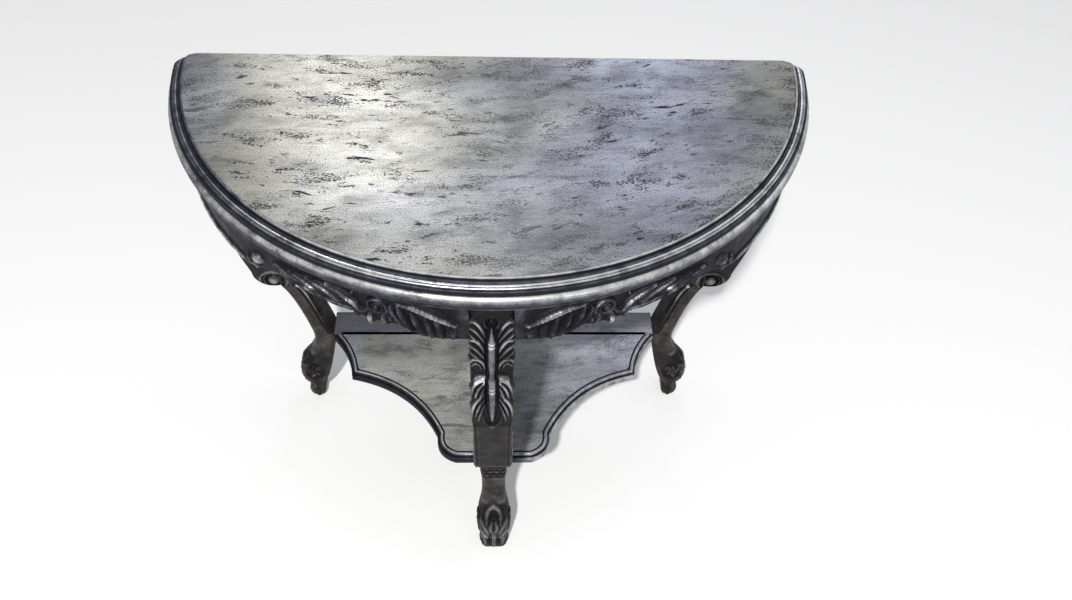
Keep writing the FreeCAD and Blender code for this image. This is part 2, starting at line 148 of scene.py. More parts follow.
def fade(value, start, end):
    """0 at the start, 1 at the end and straight in between."""
    return np.clip((value - start) / (end - start), 0, 1)


def marked(value, marks):
    """Reads a value off a list of marks, each one a place and its value."""
    return np.interp(value, marks[:, 0], marks[:, 1])


def rub_profile(piece, profile):
    places = points_of(piece)
    reach = np.hypot(places[:, 0], places[:, 1] - wall_y) / mm
    height = places[:, 2] / mm
    angle = np.degrees(np.arctan2(places[:, 0], wall_y - places[:, 1]))
    drawn = np.array(profile)
    away = np.hypot(reach[:, None] - drawn[:, 0], height[:, None] - drawn[:, 1])
    shine = drawn[away.argmin(1), 2]
    # Painted shade: the beads of the top are darkened on the left.
    painted_left_shade = left_bead_shade * fade(angle, -25, -55) * (reach > bead_reach) * (height > board_under + 1)
    # Painted light and shade on the rim by side: lighter on the right, a little darker on the left.
    painted_side_light = np.interp(angle, [-90, -20, 20, 90], [-0.06, -0.03, 0.10, 0.12])
    painted_side_light = painted_side_light * (reach > rim_reach) * (height < round_top) * (shine > 0.08)
    # On the left, the rim's painted highlight and shade are pulled to one even grey.
    on_rim = (reach > rim_reach) * (height < board_under + 0.5) * (shine > 0.4)
    shine = shine + even_share * fade(angle, -35, -60) * on_rim * (even_grey - shine)
    store_crest(piece, np.clip(shine * (1 - painted_left_shade) + painted_side_light, 0, 1))


def round_corners(piece, radius=16.0):
    """Rounds the two corners at the wall: the outer part of a moulding is drawn in along a quarter circle."""
    places = points_of(piece).astype(float)
    depth = np.clip((wall_y - places[:, 1]) / mm, 0, radius)
    reach = np.hypot(places[:, 0], places[:, 1] - wall_y) / mm
    draw = radius - np.sqrt(np.clip(radius**2 - (radius - depth) ** 2, 0, None))
    places[:, 0] -= np.sign(places[:, 0]) * draw * fade(reach, 420, 465) * mm
    piece.data.vertices.foreach_set("co", places.astype(np.float32).ravel())
    piece.data.update()


print("the beads begin at a reach of", bead_reach, "mm")

# %% [markdown]
# ## The top board
# A flat field, a small arris, a dark cove and two thin beads make up the edge. The beads are only a few
# millimetres wide, but they draw the bright lines round the table, so they are in the profile and not in a texture.
# Afterwards the two corners at the wall are rounded, as a maker would with a file.

# %% The top board
top_profile = [
    (0, 800, 0.6), (440, 800, 0.6), (466, 800, 0.6), (468.2, 800, 0.85), (470.2, 799.8, 0.95), (470.9, 798.9, 0.8),
    (471.2, 797.4, 0.1), (472.0, 795.2, 0.08), (473.2, 793.9, 0.40), (474.8, 793.2, 0.50), (476.0, 793.1, 0.42),
    (476.8, 793.9, 0.75), (477.8, 794.6, 1.0), (479.2, 794.6, 1.0), (480.2, 794.0, 0.8), (480.7, 793.2, 0.58),
    (481.2, 793.1, 0.60), (481.9, 793.2, 0.85), (482.9, 792.7, 0.9), (483.7, 791.7, 0.6), (484.1, 790.9, 0.30),
    (485.0, 790.7, 0.28), (486.4, 790.6, 0.48), (487.3, 789.9, 0.38), (487.5, 788.0, 0.08), (487.4, 784.5, 0.03),
    (487.0, 782.0, 0.0), (300, 782, 0.2), (0, 782, 0.2),
]
top_board = spin_moulding("top_board_leaf", top_profile, -90, 90, 360)
rub_profile(top_board, top_profile)
round_corners(top_board)
print("top board:", len(top_board.data.polygons), "faces")

# %% [markdown]
# ## The rim in three segments
# The thick rim under the board is glued up from three curved segments with seams at 31 degrees to each side of
# the front. Its upper half is a bold round, with a painted highlight on top that fades to painted shade below, and
# the hollow below it stays dark.

# %% The rim
seam, seam_gap = 31, 0.03
# Painted highlight and painted shade on the round: bright on its upper front, darker on its front, dark underneath.
round_painted_light = np.array([(-90, 0.0), (-60, 0.12), (-30, 0.30), (0, 0.42), (18, 0.62), (34, 0.92), (64, 0.92),
                        (80, 0.35), (90, 0.0)])
round_angles = np.linspace(-90, 90, 19)
rim_profile = [(385, 745, 0.2), (470, 745, 0.15), (477.2, 745, 0.3), (478, 745.8, 0.5), (478.2, 748, 0.35)]
rim_profile += [(478.9, 751, 0.25), (480.2, 754.5, 0.2), (481.8, 757.6, 0.15), (483, 760, 0.1), (483, 761.6, 0.0)]
for turn, shine in zip(np.radians(round_angles), marked(round_angles, round_painted_light)):
    rim_profile.append((483 + 10 * math.cos(turn), 772 + 10 * math.sin(turn), shine))
rim_profile += [(440, 782, 0.2), (385, 782, 0.2), (385, 763, 0.2), (385, 745, 0.2)]
rims = {}
for node_name, start, end in (("rim_left", -90, -seam), ("rim_front", -seam, seam), ("rim_right", seam, 90)):
    rims[node_name] = spin_moulding(node_name + "_leaf", rim_profile, start + seam_gap, end - seam_gap, 124)
    rub_profile(rims[node_name], rim_profile)
    round_corners(rims[node_name])
    print(node_name, len(rims[node_name].data.polygons), "faces")

# %% [markdown]
# ## Carving with strokes
# A carver works with strokes of a gouge: each one leaves a rounded ridge or a hollow along a path. Here a carved
# face is a fine grid, the blank. Its heights are gathered from strokes, and then every point is moved to its place
# on the leg or apron. A ridge adds to the height where it is higher than what is there, a cut goes below it.

# %% Soft lines, strokes and domes
def run_along(path):
    return np.concatenate([[0], np.cumsum(np.hypot(*np.diff(path, axis=0)[:, :2].T))])


def smooth_line(points, count):
    """A soft line through the given points, with even steps."""
    knots = np.array(points, float)
    ends = np.vstack([2 * knots[0] - knots[1], knots, 2 * knots[-1] - knots[-2]])
    share = np.linspace(0, 1, 16, endpoint=False)[:, None]
    runs = []
    for a, b, c, d in zip(ends, ends[1:], ends[2:], ends[3:]):
        cubic = (2 * a - 5 * b + 4 * c - d) * share**2 + (3 * b - a - 3 * c + d) * share**3
        runs.append(0.5 * (2 * b + (c - a) * share + cubic))
    path = np.vstack(runs + [knots[-1:]])
    run = run_along(path)
    return np.stack([np.interp(np.linspace(0, run[-1], count), run, values) for values in path.T], 1)


def hump(value):
    return np.clip(1 - value**2, 0, None)


def half_round(value):
    return np.sqrt(hump(value))


def stroke(at, points, height, steps=14):
    """Half-round ridge along a soft path. Each point of the path is (across, along, half width)."""
    across, along = at
    path = smooth_line(points, steps)
    widest = path[:, 2].max()
    shape = np.zeros_like(across)
    for start, end in zip(path, path[1:]):
        way = end - start
        length = way[0] ** 2 + way[1] ** 2 + 1e-9
        share = np.clip(((across - start[0]) * way[0] + (along - start[1]) * way[1]) / length, 0, 1)
        away = np.hypot(across - start[0] - share * way[0], along - start[1] - share * way[1])
        half = np.maximum(start[2] + share * way[2], 0.05)
        shape = np.maximum(shape, half_round(away / half) * (half / widest) ** 0.6)
    return height * shape


def distance(at, middle):
    return np.hypot(at[0] - middle[0], at[1] - middle[1])


def dome(at, middle, radius, height):
    return height * half_round(distance(at, middle) / radius)


print("a dome of 5 mm stands", dome((np.zeros(1), np.zeros(1)), (0, 0), 8, 5)[0], "mm high in its middle")


# %% [markdown]
# ## Leaves and their crests
# A leaf is made of fingers, each one a half-round stroke on a broader and lower blade. A fat lobe also has a fine cut
# down its middle. To know where leaf would be rubbed bright, the heights are compared with their own average: what
# stands above it is a crest, and what lies below it is a cut.

# %% Fingers, lobes and crests
def widened(path, factor):
    return [(a, b, factor * half) for a, b, half in path]


def finger(at, path, height, blade):
    body = stroke(at, widened(path, 1.5), height)
    return np.maximum(np.minimum(body, blade), stroke(at, path, height))


def lobe(at, path, height, blade):
    body = stroke(at, widened(path, 1.6), height)
    vein = stroke(at, widened(path, 0.34), 0.34 * height)
    return np.maximum(np.minimum(body, blade), stroke(at, path, height) - vein)


def soften(field, cells):
    """Average of a grid of heights over a square of cells, done twice."""
    for axis in (0, 1, 0, 1):
        margin = [(0, 0), (0, 0)]
        margin[axis] = (cells + 1, cells)
        total = np.cumsum(np.pad(field, margin, mode="edge"), axis=axis)
        size = field.shape[axis]
        high = np.take(total, np.arange(2 * cells + 1, 2 * cells + 1 + size), axis=axis)
        low = np.take(total, np.arange(size), axis=axis)
        field = (high - low) / (2 * cells + 1)
    return field


def fine_crest(heights):
    return np.tanh((heights - soften(heights, 2)) / 0.7)


def crest_of(heights, plain):
    """Brightness of the leaf: high on ridges, low in cuts, and plain where nothing is carved."""
    broad = np.tanh((heights - soften(heights, 6)) / 2.6)
    return np.clip(plain + 0.26 * fine_crest(heights) + 0.26 * broad, 0, 1)


print("a flat face is rubbed to", crest_of(np.zeros((9, 9)), 0.3)[4, 4])


# %% [markdown]
# ## From a flat blank to a carved piece
# The blank is a grid primitive. Its rows and columns are read from where its points lie, so each point can be
# moved to the place that the same row and column has on the real piece.

# %% Laying a blank over a piece
def lay_blank(name, places, crest):
    rows, columns = places.shape[:2]
    start_clean()
    bpy.ops.mesh.primitive_grid_add(x_subdivisions=columns - 1, y_subdivisions=rows - 1, size=2)
    piece = bpy.context.object
    piece.name = name
    flat = points_of(piece)
    column = np.rint((flat[:, 0] + 1) / 2 * (columns - 1)).astype(int)
    row = np.rint((1 - flat[:, 1]) / 2 * (rows - 1)).astype(int)
    piece.data.vertices.foreach_set("co", places[row, column].astype(np.float32).ravel())
    piece.data.update()
    store_crest(piece, crest[row, column])
    close_and_smooth(piece, 50)
    print(name, len(piece.data.vertices), "points,", len(piece.data.polygons), "faces")
    return piece


# %% [markdown]
# ## The scroll leg in side view
# Seen from the side the leg swells at the knee, runs down to a rolled scroll, and a slimmer limb leaves the roll
# towards the ankle and comes forward again at the foot. The front leg's lower part stands further out than the
# side legs', by the advance. Both outlines are followed row by row, so that the carving can ride on them.

# %% Side outline of a leg
knee_rows, roll_rows, limb_rows, pad_rows = 290, 56, 200, 18
roll_start = knee_rows - 1
roll_low, limb_start = roll_start + 45, roll_start + roll_rows - 1
roll_out, roll_height, roll_radius = 400, 371, 35
front_advance = 31


def leg_lines(advance):
    """Front and back outline, with one point of each for every row of the blank."""
    fall, lean = 49 - advance, 93 - advance

    def shifted(points):
        return [(reach + advance, height) for reach, height in points]

    def row_at(height, first, last):
        return first + np.argmin(abs(front[first:last, 1] - height))

    knee = [(470, 745), (480.5, 682.5), (484, 620), (484 - 0.12 * fall, 545.3), (484 - 0.36 * fall, 480.6),
            (484 - 0.68 * fall, 420.8), (roll_out + roll_radius + advance, roll_height)]
    limb = [(388, 338.1), (375.2, 302.6), (361.5, 255.2), (351.5, 210), (348.5, 178), (354, 148), (369, 121),
            (384, 95), (387, 76), (384, 54), (377, 41), (370.5, 34)]
    pad = [(370.5, 34), (375.5, 26), (377.5, 14), (373, 0)]
    turns = np.radians(np.linspace(0, -110, roll_rows))
    roll = np.stack([roll_out + advance + roll_radius * np.cos(turns), roll_height + roll_radius * np.sin(turns)], 1)
    front = np.vstack([smooth_line(knee, knee_rows)[:-1], roll[:-1],
                       smooth_line(shifted(limb), limb_rows)[:-1], smooth_line(shifted(pad), pad_rows)])
    shares = [(1, 1), (0.98, 0.82), (0.84, 0.58), (0.58, 0.36), (0.38, 0.25), (0.19, 0.12), (0.02, 0)]
    rise = [(303 + advance + lean * out, 190 + 460 * up) for out, up in shares]
    heel = [(304.9, 190), (317, 124.4), (331, 70), (343, 44), (350, 34), (346, 24), (345, 13), (349, 0)]
    back = np.vstack([[(396, 745)], smooth_line(rise, 160)[:-1], smooth_line(shifted(heel), 120)])
    marks = [0, row_at(620, 0, None), row_at(480, 0, roll_start), roll_start, roll_low, limb_start]
    marks += [row_at(height, limb_start, limb_start + limb_rows - 1) for height in (302, 190, 125, 75, 35)]
    run = run_along(front)
    heights = np.interp(run, run[marks + [-1]], [745, 640, 480, 394, 352, 335, 300, 190, 125, 75, 34, 0])
    return front, np.stack([marked(heights, back[np.argsort(back[:, 1])][:, ::-1]), heights], 1)


front_line = leg_lines(front_advance)[0]
print("front leg:", len(front_line), "rows, scroll reach", round(float(front_line[roll_start, 0]), 1), "mm")

# %% [markdown]
# ## Widths of a leg
# Seen from the front the leg narrows from the knee to the ankle and widens again at the foot. Lists of marks, each
# one a height and a value, give half the width, how far the sides bulge and how much the corners are rounded.

# %% Marks up a leg
half_width_marks = np.array([
    (-1, 21), (6, 23.4), (22, 24), (34, 22.6), (42, 24), (54, 25), (94, 25), (106, 24), (117, 22.2), (130, 20.8),
    (156, 20.4), (180, 20.8), (214, 23.2), (256, 23), (290, 23.2), (312, 24), (322, 25), (330, 26.8), (337, 28),
    (480, 28.8), (500, 30), (746, 30)])
bulge_marks = np.array([(0, 2.5), (20, 2.8), (28, 2.4), (36, 3.4), (50, 4.4), (95, 4.4), (112, 3), (130, 0.8),
                        (150, 0), (746, 0)])
ease_marks = np.array([(0, 9), (20, 11), (60, 11), (110, 12), (150, 12), (200, 10), (240, 8), (290, 6), (320, 3),
                       (340, 2.4), (746, 2.4)])


def half_width(height):
    return marked(height, half_width_marks)


print("half widths:", [round(float(half_width(height)), 1) for height in (60, 156, 600)], "mm at foot, ankle and knee")

# %% [markdown]
# ## Carving on the front of a leg
# A hood with an eye sits at the top, then a fluted leaf with three lobes to a side spreads from a long ringed pod,
# and below a ledge a second leaf hangs down to a U-shaped rim. The strokes are drawn for one side and mirrored,
# because the carver used one paper pattern for both. Paths are (across, height, half width) in millimetres, and
# each finger has a tone, which says how bright it is.

# %% Strokes of the knee
upper_fingers = [
    [(8.5, 694, 1.8), (14.5, 710, 3.2), (21.5, 720, 3.8), (29.5, 721.5, 3.0)],
    [(8.5, 684, 1.8), (16, 697, 2.6), (23, 706.5, 3.0), (29.5, 711, 2.4)],
    [(9.5, 674, 1.6), (17, 684, 2.4), (24, 693.5, 2.6), (29.5, 699.5, 2.0)],
    [(8.5, 662, 1.8), (14, 678, 3.2), (21, 688.5, 3.8), (29.5, 690, 3.0)],
    [(8.5, 652, 1.8), (16, 665, 2.6), (23, 674.5, 3.0), (29.5, 680, 2.4)],
    [(9.5, 642, 1.6), (17, 652.5, 2.2), (23.5, 661.5, 2.4), (29, 667, 2.0)],
    [(8.5, 628, 1.8), (10.5, 642, 3.0), (17, 652, 3.4), (25.5, 653.5, 3.2), (30, 646, 2.4)],
    [(14, 634, 1.6), (17.5, 643.5, 2.2), (24, 645, 2.2), (27.5, 639, 1.6)],
]
upper_tones = (0.64, 0.46, 0.40, 0.62, 0.46, 0.40, 0.56, 0.38)
lower_fingers = [
    [(12.5, 611.5, 4.6), (18.5, 608, 4.6), (24.5, 598, 3.8), (28, 584, 3.2), (29, 571, 2.4)],
    [(10.5, 604, 2.4), (17, 595, 3.0), (21.5, 582, 3.0), (23.5, 568, 2.2)],
    [(9.5, 595, 1.8), (13.5, 584, 2.4), (16.5, 571, 2.4), (17.5, 559, 1.8)],
    [(10.0, 578, 2.0), (17.5, 568, 3.2), (24.5, 554, 3.6), (28.5, 537, 3.2), (29, 522, 2.4)],
    [(10.0, 566, 1.8), (15.5, 555, 2.6), (20.5, 540, 3.0), (23.5, 523, 2.2)],
    [(10.0, 553, 1.6), (14.0, 541, 2.2), (17.5, 526, 2.4), (19.5, 510, 1.8)],
]
lower_tones = (0.88, 0.58, 0.46, 0.68, 0.54, 0.44)
hood_arch = [(30, 712, 2.6), (27.5, 723, 3.0), (20, 733.5, 3.2), (9, 739, 3.2), (0, 740.5, 3.2)]
leaf_rim = [(14.5, 552, 1.3), (14.2, 528, 2.0), (11.5, 505, 2.4), (6, 493, 2.5), (0, 489.5, 2.5)]
pod_marks = np.array([
    (505, 0.2), (511, 1.6), (520, 2.9), (532, 4.0), (552, 5.1), (575, 5.5), (600, 5.4), (613, 5.2), (618, 4.3),
    (626, 3.9), (634, 4.6), (642, 5.1), (660, 5.3), (688, 5.2), (693, 3.8), (703, 2.2), (711, 1.0), (713, 0.2)])
pod_rings = (686.5, 680.5, 594, 586.5)
print("knee:", len(upper_fingers), "fingers above the ledge and", len(lower_fingers), "below, to a side")


# %% [markdown]
# ## From strokes to a knee
# The ground is sunk a little first, so that the leaf stands up from it. The fingers are laid on it one by one, then
# the hood, the rim and the pod, and a gap is cut along the pod. The eye is a dome in a hollow.

# %% Carving the knee
knee_eye, ledge = (0, 719), 618.5


def pod_form(side, height):
    """Half width of the long pod, where its body is, and its two pairs of rings."""
    pod = np.interp(height, pod_marks[:, 0], pod_marks[:, 1], left=0, right=0)
    inside = hump(side / np.maximum(pod, 0.05)) * (pod > 0.1)
    return pod, inside, sum(hump((height - mark) / 1.7) for mark in pod_rings)


def carve_knee(across, height):
    """Heights of the knee, and the tone of each finger of the leaf."""
    side = abs(across)
    at = (side, height)
    ground = -1.6 * fade(height, 746, 740) * fade(height, 484, 492)
    blade, tone = np.zeros_like(across), np.full_like(across, 0.5)
    leaves = ((upper_fingers, upper_tones, 5.4, 1.6, True), (lower_fingers, lower_tones, 7.4, 3.4, height < ledge))
    for fingers, tones, rise, flat, shown in leaves:
        for path, rubbed_to in zip(fingers, tones):
            form = np.where(shown, finger(at, widened(path, 1.14), rise, flat), 0)
            tone = np.where(form > blade, rubbed_to, tone)
            blade = np.maximum(blade, form)
    blade -= dome(at, (22.5, 634), 5.6, 3.6)
    band = np.where((height > 716) & (np.hypot(side / 26, (height - 716) / 22) < 1), 2.6, 0)
    band = band * (distance(at, knee_eye) > 12)
    eye_ring = 4.0 * half_round((distance(at, knee_eye) - 10.2) / 2.2) * (height > 709)
    knobs = [dome(at, (27.5, 626), 2.6, 3.6), dome(at, (24, 737), 5.0, 3.4)]
    blade = np.maximum.reduce([blade, stroke(at, hood_arch, 4.5), band, eye_ring, *knobs, stroke(at, leaf_rim, 4.6)])
    pod, inside, bands = pod_form(side, height)
    body = np.where(inside > 0, 2.6 + (1.15 * pod + 0.9 * bands) * np.sqrt(inside), 0)
    gap = half_round((side - pod - 2.0) / 2.3) * (pod > 0.1) * (side > pod * 0.9)
    total = np.maximum(ground + blade, -1.6) * (1 - gap) - 3.4 * gap
    total = np.where(inside > 0, np.maximum(total, body), total)
    return np.maximum(total - dome(at, knee_eye, 8.2, 4.6), -4.5) + dome(at, (0, 719.5), 4.6, 5.0), tone


def rub_knee(across, height, relief, tone):
    """Black in the cuts and bright on the crests, with a painted highlight on the ledge and on the pod's bulge, a grey
    pod with bright rings, and painted shade at the top under the rim.
    """
    side = abs(across)
    raised = np.where(height > ledge, fade(relief, 1.0, 4.0), fade(relief, 2.2, 6.2)) ** 1.2
    leaf = 0.10 + tone * raised + 0.20 * fine_crest(relief)
    carved = fade(height, 488, 493)
    crest = carved * leaf + (1 - carved) * crest_of(relief, 0.26)
    # Painted highlight on the ledge, where the lower leaf's top faces up.
    ledge_highlight = np.clip(1.6 - 1.6 * ((height - 611) / 9) ** 2, 0, 1) * np.clip(1.6 - 1.6 * ((side - 16) / 11) ** 2, 0, 1)
    _, inside, bands = pod_form(side, height)
    # The bulge term at 606 mm is a painted highlight on the pod.
    pod_crest = 0.42 + 0.26 * np.sqrt(inside) + 0.40 * bands + 0.3 * hump((height - 606) / 10)
    crest = np.where(inside > 0, pod_crest, crest + 0.6 * ledge_highlight)
    # Painted shade: the top of the knee, under the rim, is darkened.
    return np.clip(crest - 0.34 * fade(height, 716, 730), 0, 1)


print("the pod is", pod_marks[-1, 0] - pod_marks[0, 0], "mm long")

# %% [markdown]
# ## The plain scroll front and the foot
# Below the knee the front of the scroll is plain, with a fine cut along each border. Under the roll the front leg
# has a band of round buds, and on the foot a leaf turns over. The side legs have the leaf only, and a plain toe.

# %% Strokes of the scroll front, the band of buds and the foot
buds = ((0, 236, 5.8), (11.5, 236, 5.8), (22, 236, 5.0), (5.7, 221, 5.4), (17, 221, 5.4), (0, 206, 5.0),
        (11, 206, 5.0), (20, 206, 4.4))
foot_fingers = [
    [(12.5, 96, 2.0), (12.5, 110, 2.8), (8.5, 122, 3.2), (0, 127, 3.4)],
    [(27, 107, 2.8), (21, 98, 3.6), (14, 84, 3.4), (10, 68, 2.6)],
    [(28, 90, 2.6), (22, 78, 4.2), (15, 60, 4.0), (11.5, 42, 2.8)],
    [(28, 64, 2.6), (22.5, 52, 4.0), (18, 34, 3.6), (15, 18, 2.6)],
    [(0, 76, 2.8), (0, 58, 4.2), (0, 30, 4.0), (0, 10, 2.8)],
    [(3, 101, 2.0), (6, 89, 3.0), (4, 77, 2.6)],
]


def carve_lower(across, height, past_roll, budded):
    side = abs(across)
    at = (side, height)
    on_limb = past_roll > 80
    total = -1.3 * half_round((half_width(height) - side - 4.2) / 1.3) * (height < 494) * (past_roll < 44)
    total -= 2.0 * fade(height, 246, 242) * fade(height, 196, 201) * (on_limb & budded)
    for middle, level, size in buds:
        bud = dome(at, (middle, level), size, 3.2)
        total = np.where(on_limb & budded & (bud > 0), np.maximum(total, bud - 2.0), total)
    leaf = np.maximum.reduce([lobe(at, path, 4.0 if budded else 2.6, 1.2) for path in foot_fingers])
    leaf -= dome(at, (0, 109), 7.0, 3.2) + 1.2 * fade(height, 134, 126) * fade(height, 6, 14)
    shown = 1 if budded else fade(height, 36, 50)
    return total + np.where((height < 140) & on_limb, shown * leaf, 0)


def rub_lower(height, relief, budded):
    """Grey limb, black between the buds, and a leaf with bright crests on the foot."""
    leaf = 0.20 + 0.56 * fade(relief, -1.0, 2.4) ** 1.2 - 0.14 * (relief < -0.9)
    leafy = fade(height, 134, 128) * (1 if budded else fade(height, 34, 48))
    banded = fade(height, 248, 245) * fade(height, 194, 197) * budded
    return crest_of(relief, 0.45 - 0.38 * banded) * (1 - leafy) + leaf * leafy


print("foot:", len(foot_fingers), "fingers, with", len(buds), "buds above it")


# %% [markdown]
# ## Carving on the sides of a leg
# On each side of the roll sits the scroll's eye, a dome in a dark ring under a curved rim, with a smaller knob
# above it. The limb is plain, with a thin bead along its back edge, and the foot has a small rosette.

# %% A face to lay forms on, and the scroll's eye
scroll_eye, scroll_knob, foot_middle = (398, 352), (414.5, 406.5), (361, 86)
scroll_flutes = ([(372, 364, 2.2), (370, 338, 2.6)], [(379, 368, 2.2), (377.5, 340, 2.6)],
                 [(386, 366, 2.2), (385, 342, 2.6)])


class Face:
    """Heights of a face, and how brightly each point of it is rubbed."""

    def __init__(self, total, shine):
        self.total, self.shine = total, shine

    def lay(self, form, base, tone):
        """Lays a raised form on a base level over what is there, with its top rubbed to the given tone."""
        higher = (form > 0) & (form + base > self.total)
        tones = 0.10 + (tone - 0.10) * form / max(form.max(), 0.1)
        self.total = np.where(higher, form + base, self.total)
        self.shine = np.where(higher, tones, self.shine)


def round_point(middle, radius, turn, half, squash=1.0):
    """Point of a path at a turn in degrees round a middle."""
    t = math.radians(turn)
    return middle[0] + radius * math.cos(t), middle[1] + squash * radius * math.sin(t), half


def carve_scroll(at):
    wells = fade(distance(at, scroll_eye), 22, 19) + fade(distance(at, scroll_knob), 12.5, 10.5)
    total = -4.4 * np.clip(wells, 0, 1)
    plain = np.interp(at[1], [120, 150, 340, 375, 440, 500], [0.32, 0.43, 0.43, 0.34, 0.26, 0.2])
    face = Face(total, np.where(total < -0.6, 0.04, plain))
    face.lay(dome(at, scroll_eye, 12.4, 8.0), -4.4, 0.72)
    face.lay(dome(at, scroll_knob, 8.8, 6.4), -4.0, 0.68)
    for radius, half, lift in ((24.5, 3.6, -1.6), (18.0, 1.6, -4.2)):
        arch = [round_point(scroll_eye, radius, turn, half, 0.94) for turn in np.linspace(215, -35, 9)]
        face.lay(stroke(at, arch, 4.0, 40), lift, 0.64)
    for turn in (205, 150, 95, 40):
        ray = [round_point(scroll_knob, 12, turn - 24, 2.4), round_point(scroll_knob, 19, turn, 1.4)]
        face.lay(stroke(at, ray, 1.8), 0, 0.5)
    for flute in scroll_flutes:
        face.lay(stroke(at, flute, 1.6), 0, 0.5)
    return face


print("scroll's eye at", scroll_eye, "and its knob at", scroll_knob)

# %% [markdown]
# ## The limb, the curls at the edge and the rosette
# The bead ends in a bright knob under the roll and has a dark groove beside it. Where the leaf of the knee turns
# over the edge, its tips show as small curls. The rosette on the foot has petals of different sizes round a dome.

# %% Strokes of a side face
limb_bead = [(312, 196, 2.6), (320, 226, 3.2), (331.5, 268, 3.6), (343, 306, 3.9), (352, 332, 4.2), (358, 345, 3.4)]
curl_tips = (719, 688, 656, 590, 545)
petals = ((0, 1.0), (70, 0.75), (125, 1.1), (190, 0.8), (250, 1.0), (310, 0.65))
petal_path = ((5, 0, 2.6), (10, 12, 4.4), (16, 30, 4.0))
rosette_radius, rosette_depth = 24, -2.6


def carve_rosette(at):
    away = distance(at, foot_middle)
    face = Face(rosette_depth * fade(away, rosette_radius, rosette_radius - 3), np.full_like(away, 0.06))
    for turn, size in petals:
        petal = [round_point(foot_middle, grow * size, turn + swing, half * size) for grow, swing, half in petal_path]
        face.lay(stroke(at, petal, 4.0), rosette_depth, 0.48)
    face.lay(dome(at, foot_middle, 4.6, 5.0), rosette_depth, 0.5)
    return face


def carve_side(reach, height, advance, front):
    at = (reach - advance, height)
    face = carve_scroll(at)
    groove = stroke(at, [(a + 6, z, half) for a, z, half in limb_bead], 1.6, 30) * (height < 345)
    face.total, face.shine = face.total - groove, np.where(groove > 0.4, 0.06, face.shine)
    face.lay(stroke(at, limb_bead, 2.6, 30), 0, 0.74)
    face.lay(dome(at, (357, 340), 6.0, 3.6), 0, 0.95)
    face.shine = np.where(height > 500, 0.2, face.shine)
    edge = np.interp(-height, -front[:roll_start, 1], front[:roll_start, 0])
    for tip in curl_tips:
        curl = [(-2, tip, 2.4), (-9, tip - 5, 3.0), (-15, tip - 15, 2.4), (-19, tip - 28, 1.4)]
        face.lay(np.where(height > 470, stroke((reach - edge, height), curl, 3.0), 0), 0, 0.7)
    rosette, on_rosette = carve_rosette(at), distance(at, foot_middle) < rosette_radius
    total = np.where(on_rosette, rosette.total, face.total)
    shine = np.where(on_rosette, rosette.shine, face.shine)
    return total * fade(height, 30, 44), np.where(height < 56, 0.22, shine)


print("a side has", len(curl_tips), "curls and a rosette of", len(petals), "petals")

# %% [markdown]
# ## Putting a leg together
# Each row of the blank is one ring round the leg: across the front, along one side, across the back and along
# the other side. The corners are eased. The front is moved out along the outline, the sides straight sideways.

# %% The four faces of a leg
front_columns, side_columns, back_columns = 64, 38, 20
rear_share = 0.7


def outward(path, turn):
    way = np.gradient(path, axis=0)
    way /= np.maximum(np.hypot(way[:, 0], way[:, 1]), 1e-9)[:, None]
    return turn * np.stack([-way[:, 1], way[:, 0]], 1)


def eased(across, height, share=1.0):
    """How far a corner is drawn in: little on the knee, more on the ankle and the foot."""
    ease = share * marked(height, ease_marks)
    over = np.clip(abs(across) - (half_width(height) - ease), 0, ease)
    return ease - np.sqrt(np.clip(ease**2 - over**2, 0, None))


def bent_strip(line, way, across, out):
    return np.stack([line[:, :1] + way[:, :1] * out, across, line[:, 1:] + way[:, 1:] * out], 2)


def leg_front(front, budded):
    row = np.arange(len(front))[:, None]
    run = run_along(front)[:, None]
    height = np.repeat(front[:, 1:], front_columns + 1, 1)
    across = np.linspace(-1, 1, front_columns + 1) * half_width(height)
    knee, tone = carve_knee(across, height)
    relief = np.where((height > 482) & (row < roll_start), knee, 0)
    relief = relief + carve_lower(across, height, run - run[roll_start], budded)
    low = (height < 300) & (row > 300)
    crest = np.where(low, rub_lower(height, relief, budded), rub_knee(across, height, relief, tone))
    return bent_strip(front, outward(front, 1), across, relief - eased(across, height)), crest


def leg_sides(front, back, advance, carved_sides):
    step = np.linspace(0, 1, side_columns + 1)[1:-1]
    near = front - outward(front, 1) * marked(front[:, 1:], ease_marks)
    far = back - outward(back, -1) * (rear_share * marked(back[:, 1:], ease_marks))
    reach, level = (near[:, k, None] + (far[:, k, None] - near[:, k, None]) * step for k in (0, 1))
    flank = half_width(level) + marked(level, bulge_marks) * (1 - (2 * step - 1) ** 2)
    raised, crest = carve_side(reach, level, advance, front)
    return [np.stack([reach, sign * (flank + raised * (sign in carved_sides)), level], 2) for sign in (1, -1)], crest


def leg_rear(back):
    height = np.repeat(back[:, 1:], back_columns + 1, 1)
    across = np.linspace(1, -1, back_columns + 1) * half_width(height)
    return bent_strip(back, outward(back, -1), across, -eased(across, height, rear_share))


print("a ring round a leg has", front_columns + 2 * side_columns + back_columns, "steps")

# %% [markdown]
# ## The three legs
# A leg is shaped standing on its own, as out, across and up, and then turned to its place in the plan. The front leg
# is carved on both sides. The side legs look outwards with one side to the wall, and only the other side is carved.

# %% The three legs
side_leg_middle, rear_crest = 30, 0.36


